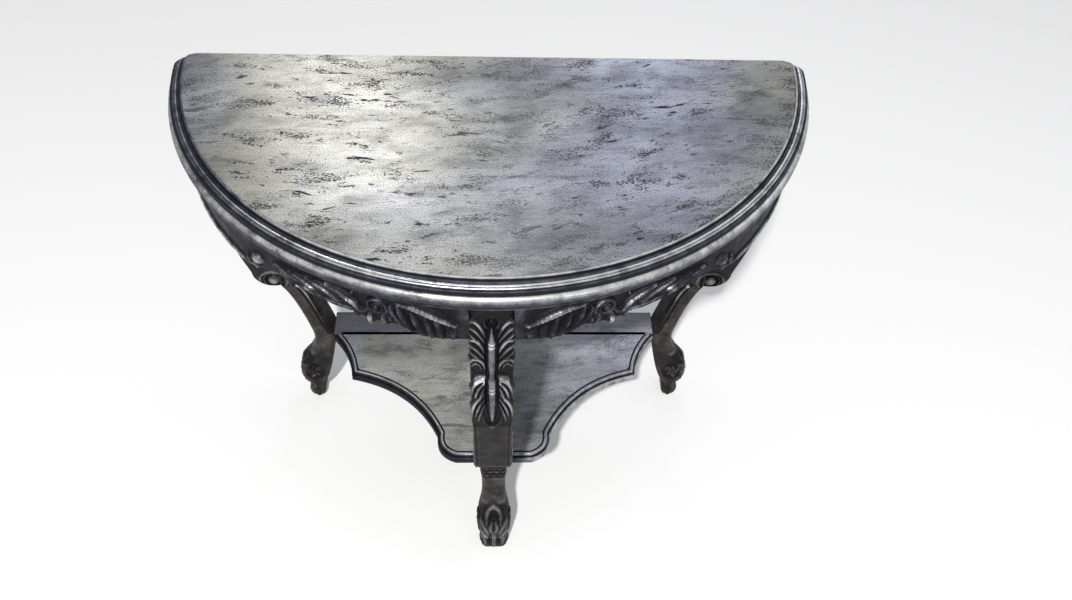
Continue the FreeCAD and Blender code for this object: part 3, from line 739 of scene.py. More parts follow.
def shape_leg(name, advance, carved_sides, to_plan):
    front, back = leg_lines(advance)
    face, face_crest = leg_front(front, advance > 0)
    sides, side_crest = leg_sides(front, back, advance, carved_sides)
    rear = leg_rear(back)
    places = np.concatenate([face, sides[0], rear, sides[1][:, ::-1], face[:, :1]], 1)
    crests = [face_crest, side_crest, np.full(rear.shape[:2], rear_crest), side_crest[:, ::-1], face_crest[:, :1]]
    places[:, :, 2] = np.maximum(places[:, :, 2], 0)
    return lay_blank(name, np.stack(to_plan(*np.moveaxis(places, 2, 0)), 2) * mm, np.concatenate(crests, 1))


def to_front(out, across, up):
    return across, wall - out, up


def to_right(out, across, up):
    return out, wall - side_leg_middle + across, up


def to_left(out, across, up):
    return -out, wall - side_leg_middle + across, up


legs = {
    "leg_front": shape_leg("leg_front_carved", front_advance, (1, -1), to_front),
    "leg_right": shape_leg("leg_right_carved", 0, (-1,), to_right),
    "leg_left": shape_leg("leg_left_carved", 0, (-1,), to_left),
}

# %% [markdown]
# ## The curved apron and its sprays
# Between the legs runs a bent apron with an arched lower edge. Next to the front leg an acanthus spray springs from
# a small C-scroll. Its fluted leaves hang down towards the leg, and three short ones hang below the scroll. Further
# out come a second spray, a round boss in a black ring and a beaded lower edge that runs to the side leg. Angles are
# from the front in degrees. One degree on the apron is about 8.3 mm.

# %% Strokes of the apron
apron_reach, apron_top = 475, 745
degree = math.radians(apron_reach)
lower_edge = np.array([
    (3, 684), (5, 683), (8, 681), (11, 681), (13, 687), (15, 696), (17, 697), (19.7, 694), (22.2, 699), (24.5, 706.5),
    (33, 709), (38, 706), (42, 695), (45, 685), (48, 680), (84, 680)])
spray_fingers = [
    [(14.8, 741, 2.4), (12.6, 739.5, 3.8), (10, 731, 4.4), (7.6, 721.5, 4.0), (5.8, 712, 2.4)],
    [(7.4, 716, 2.6), (6.6, 707, 3.6), (6.2, 697, 3.8), (6.1, 689, 2.8)],
    [(9.1, 721, 2.4), (8.5, 710, 3.4), (8.1, 698, 3.5), (7.9, 687, 2.6)],
    [(10.6, 725, 2.4), (10.3, 713, 3.3), (9.9, 700, 3.4), (9.6, 686, 2.4)],
    [(12.7, 731, 2.4), (12.4, 718, 3.4), (11.7, 702, 3.5), (11.1, 688, 2.4)],
    [(14.9, 735, 2.4), (14.5, 722, 3.2), (13.6, 706, 3.2), (12.7, 692, 2.2)],
    [(16.3, 730, 2.0), (15.7, 719, 2.6), (14.9, 708, 2.4), (14.1, 699, 1.8)],
    [(17.6, 712, 2.4), (17.4, 705, 3.8), (17.0, 697, 3.0)],
    [(19.6, 712, 2.6), (19.8, 703, 4.2), (19.6, 694, 3.2)],
    [(21.8, 713, 2.2), (22.1, 706, 3.6), (22.1, 699, 2.8)],
    [(20.5, 711.5, 2.4), (24, 709.5, 3.4), (28, 711.5, 3.6), (32, 715, 3.3), (36, 718.5, 2.6), (38.5, 722, 1.6)],
    [(21.8, 714, 2.6), (22.8, 724, 3.6), (24.8, 733, 3.6), (27.2, 738, 2.4)],
    [(25.2, 713, 2.6), (26.4, 722, 3.5), (28.6, 730, 3.4), (31.2, 734, 2.2)],
    [(28.8, 714, 2.4), (30.2, 721.5, 3.4), (32.4, 727.5, 3.2), (34.8, 730, 2.0)],
    [(32.2, 717, 2.4), (33.7, 722, 3.0), (35.8, 725.5, 2.8), (37.8, 727, 1.8)],
]
main_ridge, hanging = spray_fingers[0], spray_fingers[1:10]
# Painted highlights: the leaf is made brighter along these strokes.
highlight_strokes = [
    main_ridge,
    [(27.8, 740, 3.0), (29.6, 728, 3.6), (31.4, 718, 4.5)],
    [(13.4, 717, 2.4), (12.2, 708, 2.4)],
    [(19.8, 703, 2.4), (19.6, 695, 2.4)],
    [(21.8, 714, 2.6), (22.8, 724, 3.0)],
]
edge_leaves = [
    [(45.6, 705, 2.0), (45.8, 697, 2.6), (44.8, 690, 2.0)],
    [(44.2, 697, 2.0), (43.4, 692, 2.4), (42.0, 691, 1.8)],
]
spray_pellets = [(18.6, 725.5, 4.8), (31.6, 716.5, 4.6), (36.4, 720, 4.0), (16.4, 706, 3.4), (22.6, 740, 2.6)]
coil_middle, boss_middle = (18.6 * degree, 725.5), (42.8 * degree, 711)
boss_radius, boss_stretch, well_share, well_depth, groove_height = 10, 1.15, 1.35, 2.4, 715
print("spray:", len(spray_fingers), "fingers,", len(hanging), "of them hanging")


# %% [markdown]
# ## Carving and rubbing the apron
# The main ridge of the spray has shallow nicks across it. The other fingers are lobes, and the C-scroll is one long
# stroke that coils up. The hanging leaves are toned brown, the ridges are silver and the boss is grey. A few strokes
# carry a painted highlight.

# %% Carving and rubbing the apron
def laid_out(path, wider=1.0):
    """A path in degrees as one in millimetres along the apron."""
    return [(a * degree, z, wider * half) for a, z, half in path]


def boss_away(along, height):
    """Distance from the boss, which is a little wider than high, counted in its radius."""
    return np.hypot((along - boss_middle[0]) / boss_stretch, height - boss_middle[1]) / boss_radius


def serrated(at, path):
    ridge = finger(at, widened(path, 1.35), 9.0, 3.0)
    nicks = np.clip(np.sin(2 * math.pi * (at[0] + 0.4 * at[1]) / 7.0), 0, 1) ** 2
    return np.where(ridge > 3.2, ridge - 0.8 * nicks, ridge)


def carve_apron(angle, height, low):
    at = (angle * degree, height)
    coil = [round_point(coil_middle, 15.5 - 9.5 * share, 200 - 540 * share, 3.0 - 0.8 * share)
            for share in np.linspace(0, 1, 22)]
    beaded = fade(angle, 41, 44)
    forms = [serrated(at, laid_out(main_ridge)), stroke(at, coil, 5.6, 44)]
    forms += [lobe(at, laid_out(path), 8.6, 3.4) for path in spray_fingers[1:]]
    forms += [dome(at, (a * degree, z), radius, radius + 2.0) for a, z, radius in spray_pellets]
    total = np.maximum.reduce(forms + [beaded * 4.2 * half_round((height - low - 4.2) / 4.2)])
    total -= beaded * 1.6 * half_round((height - low - 11) / 2.0)
    total -= fade(angle, 44, 47) * 3.0 * half_round((height - groove_height) / 4.5)
    away = boss_away(*at)
    total = np.where(away < well_share, np.minimum(total, -well_depth), total)
    total = np.where(away < 1, np.maximum(total, 11 * half_round(away) - well_depth), total)
    arris = 1.6 * half_round((height - low - 2.5) / 2.5) * fade(angle, 38, 36) * fade(angle, 14, 16)
    return np.maximum.reduce([total, arris] + [stroke(at, laid_out(leaf), 5) for leaf in edge_leaves])


def rub_apron(angle, height, relief):
    at = (angle * degree, height)
    # Painted highlight along the listed strokes.
    shine = np.maximum.reduce([stroke(at, laid_out(path, 1.5), 1) for path in highlight_strokes])
    plain = 0.20 * fade(angle, 46.5, 48.5) * fade(abs(height - groove_height), 3, 6) + 0.32 * fade(angle, 6.4, 4.9)
    coiled = np.clip(1.4 - distance(at, coil_middle) / 16, 0, 1)
    rubbed_to = 1.05 - 0.36 * fade(angle, 16, 14) + 0.48 * shine - 0.34 * coiled
    crest = np.clip(crest_of(relief, 0.18) * rubbed_to - 0.11 + plain, 0, 1)
    away = boss_away(*at)
    return np.where(away < 1, 0.64 - 0.26 * away**2, np.where(away < well_share, 0.03, crest))


print("boss at", round(boss_middle[0], 1), "mm along the apron")

# %% [markdown]
# ## Shaping an apron
# The carved face hangs from the rim down to the lower edge, which dips round the tip of each hanging leaf. A few
# more rows lead under the edge, up the back and along the top to the start, and the right apron is mirrored for
# the left one.

# %% The two aprons
apron_columns, apron_rows = 420, 46
under_rows = ((468, 1.0), (460, 1.0), (453, 1.0), (453, 0.5), (453, 0.0), (462, 0.0))
front_leg_half, side_leg_width, back_crest = 30, 60, 0.25


def apron_angles(reach):
    """Angles from the front leg's side to the side leg's, in even steps."""
    first, last = math.degrees(math.asin(front_leg_half / reach)), math.degrees(math.acos(side_leg_width / reach))
    return first + np.linspace(0, 1, apron_columns + 1)[None, :] * (last - first)


def shape_apron(name, side):
    low_angle = apron_angles(apron_reach)
    low = marked(low_angle, lower_edge)
    for tip_angle, tip, _ in [path[-1] for path in hanging]:
        low = np.minimum(low, tip - 2 + 8 * np.clip(abs(low_angle - tip_angle) * degree / 5.0, 0, 2) ** 2)
    height = apron_top + (low - apron_top) * np.linspace(0, 1, apron_rows + 1)[:, None]
    angle = np.repeat(low_angle, apron_rows + 1, 0)
    relief = carve_apron(angle, height, low)
    crest = rub_apron(angle, height, relief)
    strips = [(angle, apron_reach + relief, height)]
    strips += [(apron_angles(reach), np.full_like(low, reach), apron_top + (low - apron_top) * drop)
               for reach, drop in under_rows]
    strips.append([values[:1] for values in strips[0]])
    turn, reach, up = (np.vstack(values) for values in zip(*strips))
    turn = np.radians(turn)
    places = np.stack([side * reach * np.sin(turn), wall - reach * np.cos(turn), up], 2)
    back = np.full((len(under_rows), apron_columns + 1), back_crest)
    return lay_blank(name, places * mm, np.vstack([crest, back, crest[:1]]))


aprons = {"right": shape_apron("apron_right_carved", 1), "left": shape_apron("apron_left_carved", -1)}

# %% [markdown]
# ## The shelf
# A shaped board is held between the ankles, with hollow sides, a small round at each side of the front and a moulded
# edge. A narrow board behind it closes the shelf to the wall, and the joint between them shows as a dark line.
# The outline is drawn with arcs for one half and mirrored.

# %% The shelf board's outline
def bowed(start, end, share, count):
    """Points of an arc from start to end, bowed to the left of the way by a share of its chord."""
    start, end = np.array(start, float), np.array(end, float)
    chord = end - start
    left = np.array([-chord[1], chord[0]]) * share
    t = np.linspace(0, 1, count)[:, None]
    return start + chord * t + left * 4 * t * (1 - t)


shelf_half = np.vstack([
    bowed((308, -57), (265, -153), -0.08, 20)[:-1],
    bowed((265, -153), (100, -288), -0.125, 34)[:-1],
    bowed((100, -288), (66, -339), 0.20, 18),
])
shelf_outline = np.vstack([shelf_half, shelf_half[::-1] * (-1, 1)])
print("shelf outline:", len(shelf_outline), "points")


# %% [markdown]
# ## The shelf's moulded edge
# The edge is a stack of copies of the outline, each set in and raised a little, like the strips of a moulding. The
# blank's rows are those copies. The edge is brighter on the right and darker on the left.

# %% Building up the shelf from its outline
def set_in(outline, inset):
    """The outline moved inwards. Its two ends slide along the joint, which opens a very little."""
    way = np.diff(outline, axis=0)
    way /= np.hypot(way[:, 0], way[:, 1])[:, None]
    inward = np.stack([way[:, 1], -way[:, 0]], 1)
    before, after = np.vstack([inward[:1], inward]), np.vstack([inward, inward[-1:]])
    mitre = (before + after) / (1 + (before * after).sum(1))[:, None]
    mitre[0], mitre[-1] = (1 / inward[0, 0], -0.06), (1 / inward[-1, 0], -0.06)
    return outline + mitre * inset


shelf_profile = [
    (1.2, 180, 0.05), (0, 181.2, 0.06), (0, 187, 0.05), (0, 193.0, 0.12), (0.5, 193.8, 0.4), (1.5, 194.2, 0.55),
    (2.7, 194.1, 0.4), (3.5, 193.6, 0.05), (3.9, 194.2, 0.05), (4.3, 196.2, 0.4), (5.1, 198.1, 0.75),
    (6.5, 199.5, 0.95), (8.2, 200, 0.95), (9.5, 200, 0.75), (10.3, 199.3, 0.05), (11.3, 199.0, 0.0),
    (12.2, 199.4, 0.1), (13.0, 200, 0.6), (15.0, 200, 0.62),
]
loops = []
for inset, height, _ in shelf_profile:
    loop = set_in(shelf_outline, inset)
    loop = np.vstack([loop, loop[:1]])
    loops.append(np.column_stack([loop[:, 0], loop[:, 1] + wall, np.full(len(loop), height)]))
shelf_shine = np.repeat(np.array(shelf_profile)[:, 2:], len(loops[0]), 1)
on_right, on_left = fade(loops[0][:, 0], 20, 80), fade(loops[0][:, 0], -20, -80)
shelf_shine[1:5] = shelf_shine[1:5] * (1 - on_right) + 0.78 * on_right
shelf_shine[4:15] *= 1 - 0.5 * on_left
shelf_board = lay_blank("shelf_board_leaf", np.array(loops) * mm, shelf_shine)

# %% [markdown]
# ## The narrow board behind the shelf
# This one is a plain board: a cube brought to the size of its CAD node, a very little narrower so that the joint
# shows, with its edges broken by a small bevel.

# %% The narrow board behind the shelf
joint_gap = Vector((0, 0.0006, 0))
start_clean()
rear_low, rear_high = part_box("shelf_rear_board")
bpy.ops.mesh.primitive_cube_add(size=1, location=(rear_low + rear_high) / 2, scale=rear_high - rear_low - joint_gap)
shelf_rear = bpy.context.object
shelf_rear.name = "shelf_rear_leaf"
bpy.ops.object.transform_apply(location=True, rotation=True, scale=True)
bpy.ops.object.mode_set(mode="EDIT")
bpy.ops.mesh.select_all(action="SELECT")
bpy.ops.mesh.bevel(offset=1.2 * mm, segments=3, affect="EDGES")
bpy.ops.object.mode_set(mode="OBJECT")
close_and_smooth(shelf_rear, 40)
rear_heights = points_of(shelf_rear)[:, 2] / mm
store_crest(shelf_rear, np.interp(rear_heights, [180, 196, 199.2, 200], [0.05, 0.1, 0.3, 0.62]))
print(shelf_rear.name, len(shelf_rear.data.polygons), "faces")


# %% [markdown]
# ## A bench for nodes
# A finish is a small network of nodes. The bench adds nodes to one network and feeds them with numbers, colours or the
# outputs of other nodes, so that a finish reads like a recipe. A stretched noise has cells with a length and a width
# in metres, which suits brush lines and rubs.

# %% A bench for nodes
class Bench:
    def __init__(self, tree):
        self.tree = tree

    def feed(self, socket, value):
        if isinstance(value, bpy.types.NodeSocket):
            self.tree.links.new(value, socket)
        else:
            socket.default_value = (*value, 1) if socket.type == "RGBA" else value

    def add(self, kind, feeds=None, **settings):
        made = self.tree.nodes.new("ShaderNode" + kind)
        for key, value in settings.items():
            setattr(made, key, value)
        for key, value in (feeds or {}).items():
            self.feed(made.inputs[key], value)
        return made

    def maths(self, operation, first, second, clamp=False):
        return self.add("Math", {0: first, 1: second}, operation=operation, use_clamp=clamp).outputs[0]

    def plus(self, first, second, clamp=False):
        return self.maths("ADD", first, second, clamp)

    def minus(self, first, second):
        return self.maths("SUBTRACT", first, second)

    def times(self, first, second, clamp=False):
        return self.maths("MULTIPLY", first, second, clamp)

    def larger(self, first, second):
        return self.maths("MAXIMUM", first, second)

    def place(self):
        return self.add("TexCoord").outputs["Object"]

    def noise(self, vector, scale, detail, roughness=0.55):
        feeds = {"Vector": vector, "Scale": scale, "Detail": detail, "Roughness": roughness}
        return self.add("TexNoise", feeds).outputs["Fac"]

    def stretched(self, vector, length, width, detail, roughness=0.55, turn=0, start=(0, 0, 0)):
        feeds = {"Vector": vector, "Scale": (length, width, width), "Rotation": (0, 0, turn), "Location": start}
        laid = self.add("Mapping", feeds, vector_type="TEXTURE")
        return self.noise(laid.outputs["Vector"], 1.0, detail, roughness)

    def ramp(self, source, stops):
        """Colours, or greys given as one number, at places from 0 to 1."""
        made = self.add("ValToRGB", {"Fac": source})
        band = made.color_ramp
        while len(band.elements) < len(stops):
            band.elements.new(0.5)
        for element, (place, colour) in zip(band.elements, stops):
            element.position = place
            element.color = (*colour, 1) if isinstance(colour, tuple) else (colour, colour, colour, 1)
        return made.outputs["Color"]

    def blend(self, share, first, second, way="MIX"):
        feeds = {"Factor": share, 6: first, 7: second}
        return self.add("Mix", feeds, data_type="RGBA", blend_type=way).outputs[2]


def new_group(name, labels):
    """Node group with number inputs and the four outputs of a finish, and a bench to fill it."""
    group = bpy.data.node_groups.new(name, "ShaderNodeTree")
    for label in labels:
        group.interface.new_socket(label, in_out="INPUT", socket_type="NodeSocketFloat")
    for label in ("Color", "Roughness", "Metallic", "Height"):
        kind = "NodeSocketColor" if label == "Color" else "NodeSocketFloat"
        group.interface.new_socket(label, in_out="OUTPUT", socket_type=kind)
    given, result = group.nodes.new("NodeGroupInput"), group.nodes.new("NodeGroupOutput")
    print("group", name, "takes", labels)
    return group, Bench(group), given.outputs, result.inputs


# %% [markdown]
# ## Finish 1: silver over black
# Mouldings and carving are gilded with silver leaf over a black ground, rubbed through on the crests, toned with
# a brown film on the plain faces and left black in the cuts. One node group turns the crest value and some
# irregular rubbing into colour, roughness and metal, and every carved material uses it.

# %% The rubbed silver group
rubbed, bench, given, result = new_group("rubbed_silver", ("Crest", "Wear", "Film"))
place = bench.place()
patches = bench.noise(place, 60, 5)
specks = bench.noise(place, 420, 3)
stains = bench.noise(place, 26, 6, 0.65)
drift = bench.times(bench.minus(patches, 0.5), given["Wear"])
grain = bench.times(bench.minus(specks, 0.5), 0.30)
rubbing = bench.plus(bench.plus(given["Crest"], drift), grain, clamp=True)
cool_paint = bench.ramp(rubbing, [
    (0.0, (0.004, 0.004, 0.007)), (0.18, (0.008, 0.008, 0.016)), (0.36, (0.028, 0.029, 0.048)),
    (0.50, (0.073, 0.075, 0.102)), (0.66, (0.195, 0.198, 0.232)), (0.82, (0.45, 0.45, 0.46)), (1.0, 0.80)])
warm_paint = bench.ramp(rubbing, [
    (0.0, (0.003, 0.003, 0.005)), (0.18, (0.006, 0.006, 0.008)), (0.36, (0.024, 0.0200, 0.0182)),
    (0.50, (0.058, 0.053, 0.051)), (0.66, (0.17, 0.168, 0.178)), (0.82, (0.42, 0.42, 0.44)), (1.0, (0.78, 0.78, 0.79))])
stained = bench.ramp(stains, [(0.35, (0.25, 0.25, 0.26)), (0.46, 1), (0.60, 1), (0.72, (1.35, 1.32, 1.28))])
paint = bench.blend(given["Film"], cool_paint, warm_paint)
bench.feed(result["Color"], bench.blend(0.85, paint, stained, "MULTIPLY"))
bench.feed(result["Roughness"], bench.ramp(rubbing, [(0.0, 0.62), (0.45, 0.48), (1.0, 0.26)]))
bench.feed(result["Metallic"], bench.ramp(rubbing, [(0.0, 0.05), (0.45, 0.3), (0.8, 0.6)]))
bench.feed(result["Height"], bench.plus(specks, patches))


# %% [markdown]
# ## Finish 2: the rubbed field
# The flat field of the top and the shelf is brighter: cream silver with cool lavender patches, brush lines that run
# along the table, and dark rubs where the black shows through. A rub is a cluster of fine dots: one stretched noise
# says where the dots lie closely, and another one draws them. Towards the right the rubs slant, as the cloth went.

# %% Rubs and scratches of the streaked silver group
field, bench, given, result = new_group("streaked_silver", ("Coolness", "Rubs", "Metal", "Tone", "Edge"))
place = bench.place()
warp = bench.add("TexNoise", {"Vector": place, "Scale": 9}).outputs["Color"]
bent = bench.blend(0.02, place, warp, "LINEAR_LIGHT")
dots = bench.stretched(place, 0.0042, 0.0020, 3, 0.62, 0.06)
scratches = bench.ramp(bench.stretched(place, 0.045, 0.0013, 2, turn=0.62), [(0.66, 0), (0.72, 1)])


def rub_clusters(turn, start):
    """Patches, all lying in one direction, where dots of black come through closely, and a few solid marks."""
    close = bench.plus(bench.stretched(bent, 0.068, 0.023, 5, 0.6, turn, start), given["Edge"])
    limit = bench.ramp(close, [(0.39, 0.73), (0.53, 0.595), (0.64, 0.445)])
    peppered = bench.times(bench.minus(dots, limit), 16.0, clamp=True)
    marks = bench.ramp(bench.stretched(bent, 0.028, 0.0082, 7, 0.68, turn, start), [(0.60, 0), (0.645, 1)])
    smears = bench.ramp(bench.stretched(bent, 0.11, 0.021, 7, 0.6, turn, (0.7, 0.3, 0)), [(0.635, 0), (0.67, 1)])
    return bench.larger(peppered, bench.larger(marks, smears))


level_share = bench.minus(1.08, bench.times(given["Coolness"], 0.75))
slant_share = bench.plus(bench.times(given["Coolness"], 0.90), 0.16)
level_rubs = bench.times(rub_clusters(0.0, (0, 0, 0)), level_share)
slant_rubs = bench.times(rub_clusters(0.27, (0.4, 0.2, 0)), slant_share)
faint = bench.times(bench.times(scratches, 0.5), slant_share)
dark = bench.times(bench.larger(bench.larger(level_rubs, slant_rubs), faint), given["Rubs"], clamp=True)

# %% [markdown]
# ## The colour under the rubs
# Clouds drift between a warm and a cool silver: random tones and a painted cool light along X choose between
# them. Brush lines and pepper break it up, smudges soil it, and a Tone with painted light and shade multiplies it.
# The rubs come last, nearly black. Where they are, the field is also rougher and less of a metal.

# %% Colour of the streaked silver group
clouds = bench.stretched(bent, 0.30, 0.13, 5, turn=0.1)
tones = bench.stretched(place, 0.26, 0.20, 3, turn=0.2, start=(0.3, 0.9, 0))
pepper = bench.noise(place, 620, 2, 0.6)
brush = bench.stretched(place, 0.07, 0.0016, 3, turn=0.03)
smudges = bench.ramp(bench.stretched(bent, 0.085, 0.036, 6, 0.62, 0.12), [(0.48, 0), (0.66, 1)])
warm_silver = bench.ramp(clouds, [(0.30, (0.27, 0.27, 0.25)), (0.50, (0.45, 0.45, 0.41)), (0.68, (0.64, 0.64, 0.59))])
cool_silver = bench.ramp(clouds, [(0.30, (0.27, 0.28, 0.34)), (0.50, (0.47, 0.48, 0.57)), (0.68, (0.66, 0.67, 0.79))])
# The Coolness is a painted cool light, given along X for each board; the random tones add real patches to it.
tint = bench.plus(given["Coolness"], bench.times(bench.minus(tones, 0.5), 2.0), clamp=True)
base = bench.blend(tint, warm_silver, cool_silver)
base = bench.blend(1.0, base, bench.ramp(brush, [(0.34, 0.80), (0.5, 1), (0.70, 1.06)]), "MULTIPLY")
base = bench.blend(1.0, base, bench.ramp(pepper, [(0.33, 0.25), (0.48, 1), (0.62, 1.16)]), "MULTIPLY")
soil = bench.minus(0.85, bench.times(given["Rubs"], 0.33))
base = bench.blend(bench.times(smudges, soil), base, (0.10, 0.10, 0.105))
# The Tone holds the board's own tone together with painted light and shade, set for each board.
base = bench.blend(1.0, base, given["Tone"], "MULTIPLY")
rough = bench.plus(bench.times(clouds, 0.12), 0.26)
bench.feed(result["Color"], bench.blend(dark, base, (0.008, 0.008, 0.011)))
bench.feed(result["Roughness"], bench.plus(bench.times(dark, 0.22), rough))
bench.feed(result["Metallic"], bench.times(given["Metal"], bench.minus(1.0, bench.times(dark, 0.8))))
bench.feed(result["Height"], bench.plus(bench.times(brush, 0.5), bench.times(pepper, 0.3)))
print("field group:", len(field.nodes), "nodes")


# %% [markdown]
# ## Materials from the groups
# A group alone is not a material: it is plugged into a shader, with a bump for the fine grain. The carved materials
# take the crest from the points of the piece. The field materials change over the board: cooler in the spans given
# along X, with one tone at the front and one at the wall, another tone on the right, and more rubs at the right edge.

# %% Materials from the groups
def new_material(name):
    material = bpy.data.materials.new(name)
    material.use_nodes = True
    return material, Bench(material.node_tree), material.node_tree.nodes["Principled BSDF"].inputs


def raise_grain(bench, shader, height, strength, distance):
    feeds = {"Strength": strength, "Distance": distance, "Height": height}
    bench.feed(shader["Normal"], bench.add("Bump", feeds).outputs["Normal"])


def new_finish(name, group, bump, **values):
    material, bench, shader = new_material(name)
    used = bench.add("Group", node_tree=group)
    for label, socket in (("Color", "Base Color"), ("Roughness", "Roughness"), ("Metallic", "Metallic")):
        bench.feed(shader[socket], used.outputs[label])
    shader["Specular IOR Level"].default_value = 0.25
    raise_grain(bench, shader, used.outputs["Height"], bump, 0.0006)
    for label, value in values.items():
        used.inputs[label].default_value = value
    return material, bench, used.inputs


def carved_finish(name, wear, film):
    material, bench, inputs = new_finish(name, rubbed, 0.25, Wear=wear, Film=film)
    bench.feed(inputs["Crest"], bench.add("Attribute", attribute_name="crest").outputs["Fac"])
    return material


def field_finish(name, rubs, metal, coolness, depth_span, depth_tones, right_span, right_tone, edge=0.0):
    material, bench, inputs = new_finish(name, field, 0.2, Rubs=rubs, Metal=metal)
    place = bench.place()
    parts = bench.add("SeparateXYZ", {"Vector": place}).outputs

    def change(source, span, values, way="SMOOTHSTEP"):
        feeds = zip(("Value", "From Min", "From Max", "To Min", "To Max"), (source, *span, *values))
        return bench.add("MapRange", dict(feeds), interpolation_type=way).outputs["Result"]

    cool = 0.0
    for span, values in coolness:
        cool = bench.plus(cool, change(parts["X"], span, values))
    bench.feed(inputs["Coolness"], cool)
    reach = bench.add("VectorMath", {0: place, 1: (0, wall_y, 0.8)}, operation="DISTANCE").outputs["Value"]
    near_edge = change(reach, (0.435, 0.468), (0, edge), "LINEAR")
    bench.feed(inputs["Edge"], bench.times(near_edge, change(parts["X"], (0.12, 0.32), (0, 1))))
    deep = change(parts["Y"], depth_span, depth_tones)
    to_right_tone = bench.times(change(parts["X"], right_span, (0, 1)), bench.minus(right_tone, deep))
    bench.feed(inputs["Tone"], bench.plus(deep, to_right_tone))
    return material


moulding_silver = carved_finish("moulding_silver", 0.60, 0.2)
carving_silver = carved_finish("carving_silver", 0.50, 1.0)
apron_silver = carved_finish("apron_silver", 1.1, 0.40)
# The cool spans are painted light: the bluish light and reflections on the right of the boards, at their left ends and
# over the whole rear board. The rubs slant where they are cool.
top_cool = (((-0.20, 0.26), (0, 1)), ((0.24, 0.44), (0, -0.75)), ((-0.47, -0.34), (0.8, 0)))
shelf_cool = (((-0.10, 0.22), (0, 1)), ((-0.30, -0.22), (0.8, 0)))
rear_cool = (((-0.9, -0.5), (0, 1)),)
# Painted light and shade in the tones: the top is darker on the left, against the glow of the lamp behind, and lighter
# on the right. The shelf is darker towards the joint, painted shade under the top, and on the right one tone, darker
# than the front-left, paints part of the front leg's shadow. The rear board is dark with painted shade under the top
# and lighter on the right with painted light.
whole_depth, joint_depth = (-0.3, 0.25), (wall_y - 0.17, wall_y - 0.08)
top_silver = field_finish("top_silver", 0.95, 0.62, top_cool, whole_depth, (0.51, 0.51), (-0.30, 0.04), 0.89, 0.10)
shelf_silver = field_finish("shelf_silver", 0.55, 0.15, shelf_cool, joint_depth, (1.14, 0.56), (-0.04, 0.02), 0.85)
rear_silver = field_finish("rear_silver", 0.5, 0.2, rear_cool, whole_depth, (0.30, 0.30), (0.02, 0.22), 0.80)
print("finishes:", [material.name for material in bpy.data.materials if "silver" in material.name])

# %% [markdown]
# ## Finish 3: bare wood inside
# The rail at the wall, the loose tenons, the glue blocks and the battens are never gilded. They keep their CAD
# shapes and get a plain brown wood with grain along its length.

# %% Bare wood
inner_wood, bench, shader = new_material("inner_wood")
fibres = bench.stretched(bench.place(), 0.16, 0.0066, 5)
browns = [(0.3, (0.075, 0.048, 0.030)), (0.55, (0.15, 0.10, 0.062)), (0.75, (0.20, 0.14, 0.09))]
bench.feed(shader["Base Color"], bench.ramp(fibres, browns))
bench.feed(shader["Roughness"], bench.ramp(fibres, [(0.3, 0.72), (0.7, 0.55)]))
raise_grain(bench, shader, fibres, 0.3, 0.0005)
print("wood:", inner_wood.name)


# %% [markdown]
# ## Dressing the pieces
# A board has two finishes: the field where a face looks up inside the moulding, and the rubbed moulding all round.
# Everything else has one.

# %% Dressing the pieces
field_reach, shelf_field = 0.4685, 0.1995
bare_kinds = ("back_rail", "apron_tenon", "rail_tenon", "shelf_tenon", "top_tenon", "rim_tongue", "shelf_batten",
              "corner_block")


def dress(piece, *materials):
    piece.data.materials.clear()
    for material in materials:
        piece.data.materials.append(material)


def dress_board(piece, flat_material, inside):
    dress(piece, moulding_silver, flat_material)
    for face in piece.data.polygons:
        face.material_index = 1 if face.normal.z > 0.9 and inside(face.center) else 0


dress_board(top_board, top_silver, lambda at: math.hypot(at.x, at.y - wall_y) < field_reach)
dress_board(shelf_board, shelf_silver, lambda at: at.z > shelf_field)
dress_board(shelf_rear, rear_silver, lambda at: at.z > shelf_field)
for pieces, material in ((rims, moulding_silver), (legs, carving_silver), (aprons, apron_silver)):
    for piece in pieces.values():
        dress(piece, material)
bare_nodes = [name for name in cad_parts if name.startswith(bare_kinds)]
for name in bare_nodes:
    dress(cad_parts[name], inner_wood)
print(len(bare_nodes), "nodes stay as bare wood")

# %% [markdown]
# ## Riding on the table
# Every piece rides on the one body of the table and hides the CAD nodes that it stands for.

# %% Riding and replacing
boards = {"top_board": top_board, "shelf_board": shelf_board, "shelf_rear_board": shelf_rear}
stands_for = [(piece, (name,), "silver_leaf_top") for name, piece in boards.items()]
stands_for += [(piece, (name,), "silver_leaf_carved") for name, piece in (rims | legs).items()]
stands_for += [(piece, ("apron_" + side, "spray_" + side), "silver_leaf_carved") for side, piece in aprons.items()]
for piece, nodes, finish in stands_for:
    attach(piece, "root")
    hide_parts(*nodes)
print(len(stands_for), "pieces ride on the table")

# %% [markdown]
# ## The floor
# A pale floor carries the table's soft shadow. The camera sees it a little paler than it lights the table, which
# Is Camera Ray can tell apart.

# %% Floor
start_clean()
bpy.ops.mesh.primitive_plane_add(size=14, location=(0, 0, -0.0005))
floor = bpy.context.object
floor.name = "floor"
floor_paint, bench, shader = new_material("floor_paint")
for label, value in (("Base Color", (0.93, 0.93, 0.93)), ("Roughness", 0.9), ("Specular IOR Level", 0.0),
                     ("Emission Color", (1, 1, 1))):
    bench.feed(shader[label], value)
seen = bench.add("LightPath").outputs["Is Camera Ray"]
bench.feed(shader["Emission Strength"], bench.times(seen, 0.14))
floor.data.materials.append(floor_paint)
print("floor:", [round(c, 1) for c in floor.dimensions], "m")


# %% [markdown]
# ## Lights
# A soft light in front, high up and a little to the left, models the carving and lays the front leg's shadow on the
# shelf. Two lights behind the table are mirrored in the top. The larger one has a grid, so that it doesn't reach the
# shelf and fill that shadow. Two more fill from the right. The world is a pale backdrop to the camera and lights the
# table less.

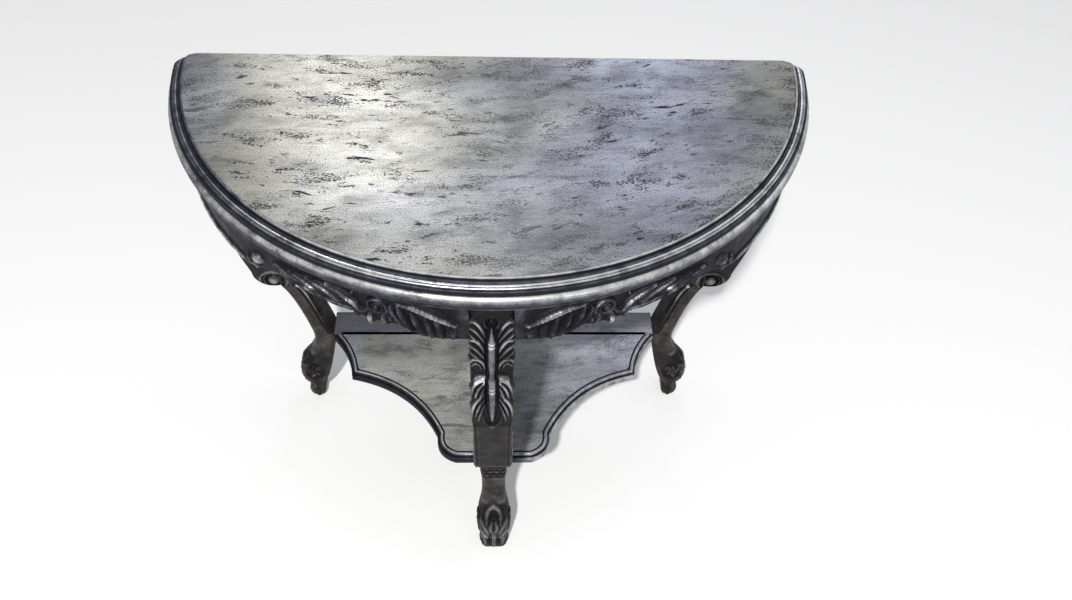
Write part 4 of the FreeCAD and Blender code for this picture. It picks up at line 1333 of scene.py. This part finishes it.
# %% Lights
def soft_light(name, place, target, size, power, colour, spread=180):
    """Square lamp turned to a target. A spread below 180 degrees works like a grid in front of it."""
    lamp = bpy.data.lights.new(name, "AREA")
    lamp.shape = "SQUARE"
    lamp.size = size
    lamp.energy = power
    lamp.color = colour
    lamp.spread = math.radians(spread)
    light = bpy.data.objects.new(name, lamp)
    bpy.context.scene.collection.objects.link(light)
    light.location = place
    light.rotation_mode = "QUATERNION"
    light.rotation_quaternion = (Vector(target) - Vector(place)).to_track_quat("-Z", "Y")
    print(name, power, "W")


soft_light("front_light", (-0.72, -3.66, 5.0), (0, 0, 0.4), 0.22, 306, (1.0, 0.99, 0.97))
soft_light("fill_light", (2.4, -4.6, 3.2), (0, 0, 0.5), 1.6, 14, (0.90, 0.93, 1.0))
soft_light("back_light", (-0.547, 1.9, 2.15), (-0.307, 0.057, 2.545), 0.45, 22.5, (1.0, 1.0, 0.97), 114)
soft_light("window_light", (0.42, 1.9, 2.0), (0.2, 0.15, 0.8), 0.5, 2.2, (0.80, 0.85, 1.0))
soft_light("right_light", (2.4, 0.2, 1.9), (0.1, 0, 0.5), 1.2, 3.5, (0.88, 0.91, 1.0))
world = bpy.data.worlds.new("studio")
bpy.context.scene.world = world
world.use_nodes = True
bench, backdrop = Bench(world.node_tree), world.node_tree.nodes["Background"].inputs
seen = bench.add("LightPath").outputs["Is Camera Ray"]
bench.feed(backdrop["Color"], (0.92, 0.93, 0.96))
bench.feed(backdrop["Strength"], bench.plus(0.33, bench.times(seen, 0.61)))

# %% [markdown]
# ## The camera
# It stands where the photograph's did: in front, high up and turned a little. Its place, its angles and its lens
# come from a fit to the outline of the top, the feet and the shelf. The focal length and the middle of the picture
# are counted in pixels of the photograph.

# %% Camera
pitch, yaw, roll = 0.840585, 0.073912, 0.056913
photo_width, photo_height, sensor = 1072, 600, 36
focal, middle_x, middle_y = 1076.497, 553.9, 303.9
camera_data = bpy.data.cameras.new("camera")
camera = bpy.data.objects.new("camera", camera_data)
bpy.context.scene.collection.objects.link(camera)
look = Vector((math.sin(yaw) * math.cos(pitch), math.cos(yaw) * math.cos(pitch), -math.sin(pitch)))
camera.location = (0.012057, -1.154379, 1.793164)
camera.rotation_mode = "QUATERNION"
camera.rotation_quaternion = look.to_track_quat("-Z", "Y") @ Quaternion((0, 0, 1), roll)
camera_data.sensor_fit = "HORIZONTAL"
camera_data.sensor_width = sensor
camera_data.lens = sensor * focal / photo_width
camera_data.shift_x = (photo_width / 2 - middle_x) / photo_width
camera_data.shift_y = (middle_y - photo_height / 2) / photo_width
bpy.context.scene.camera = camera
bpy.context.scene.view_settings.view_transform = "Standard"
print("camera lens:", round(camera_data.lens, 2), "mm")
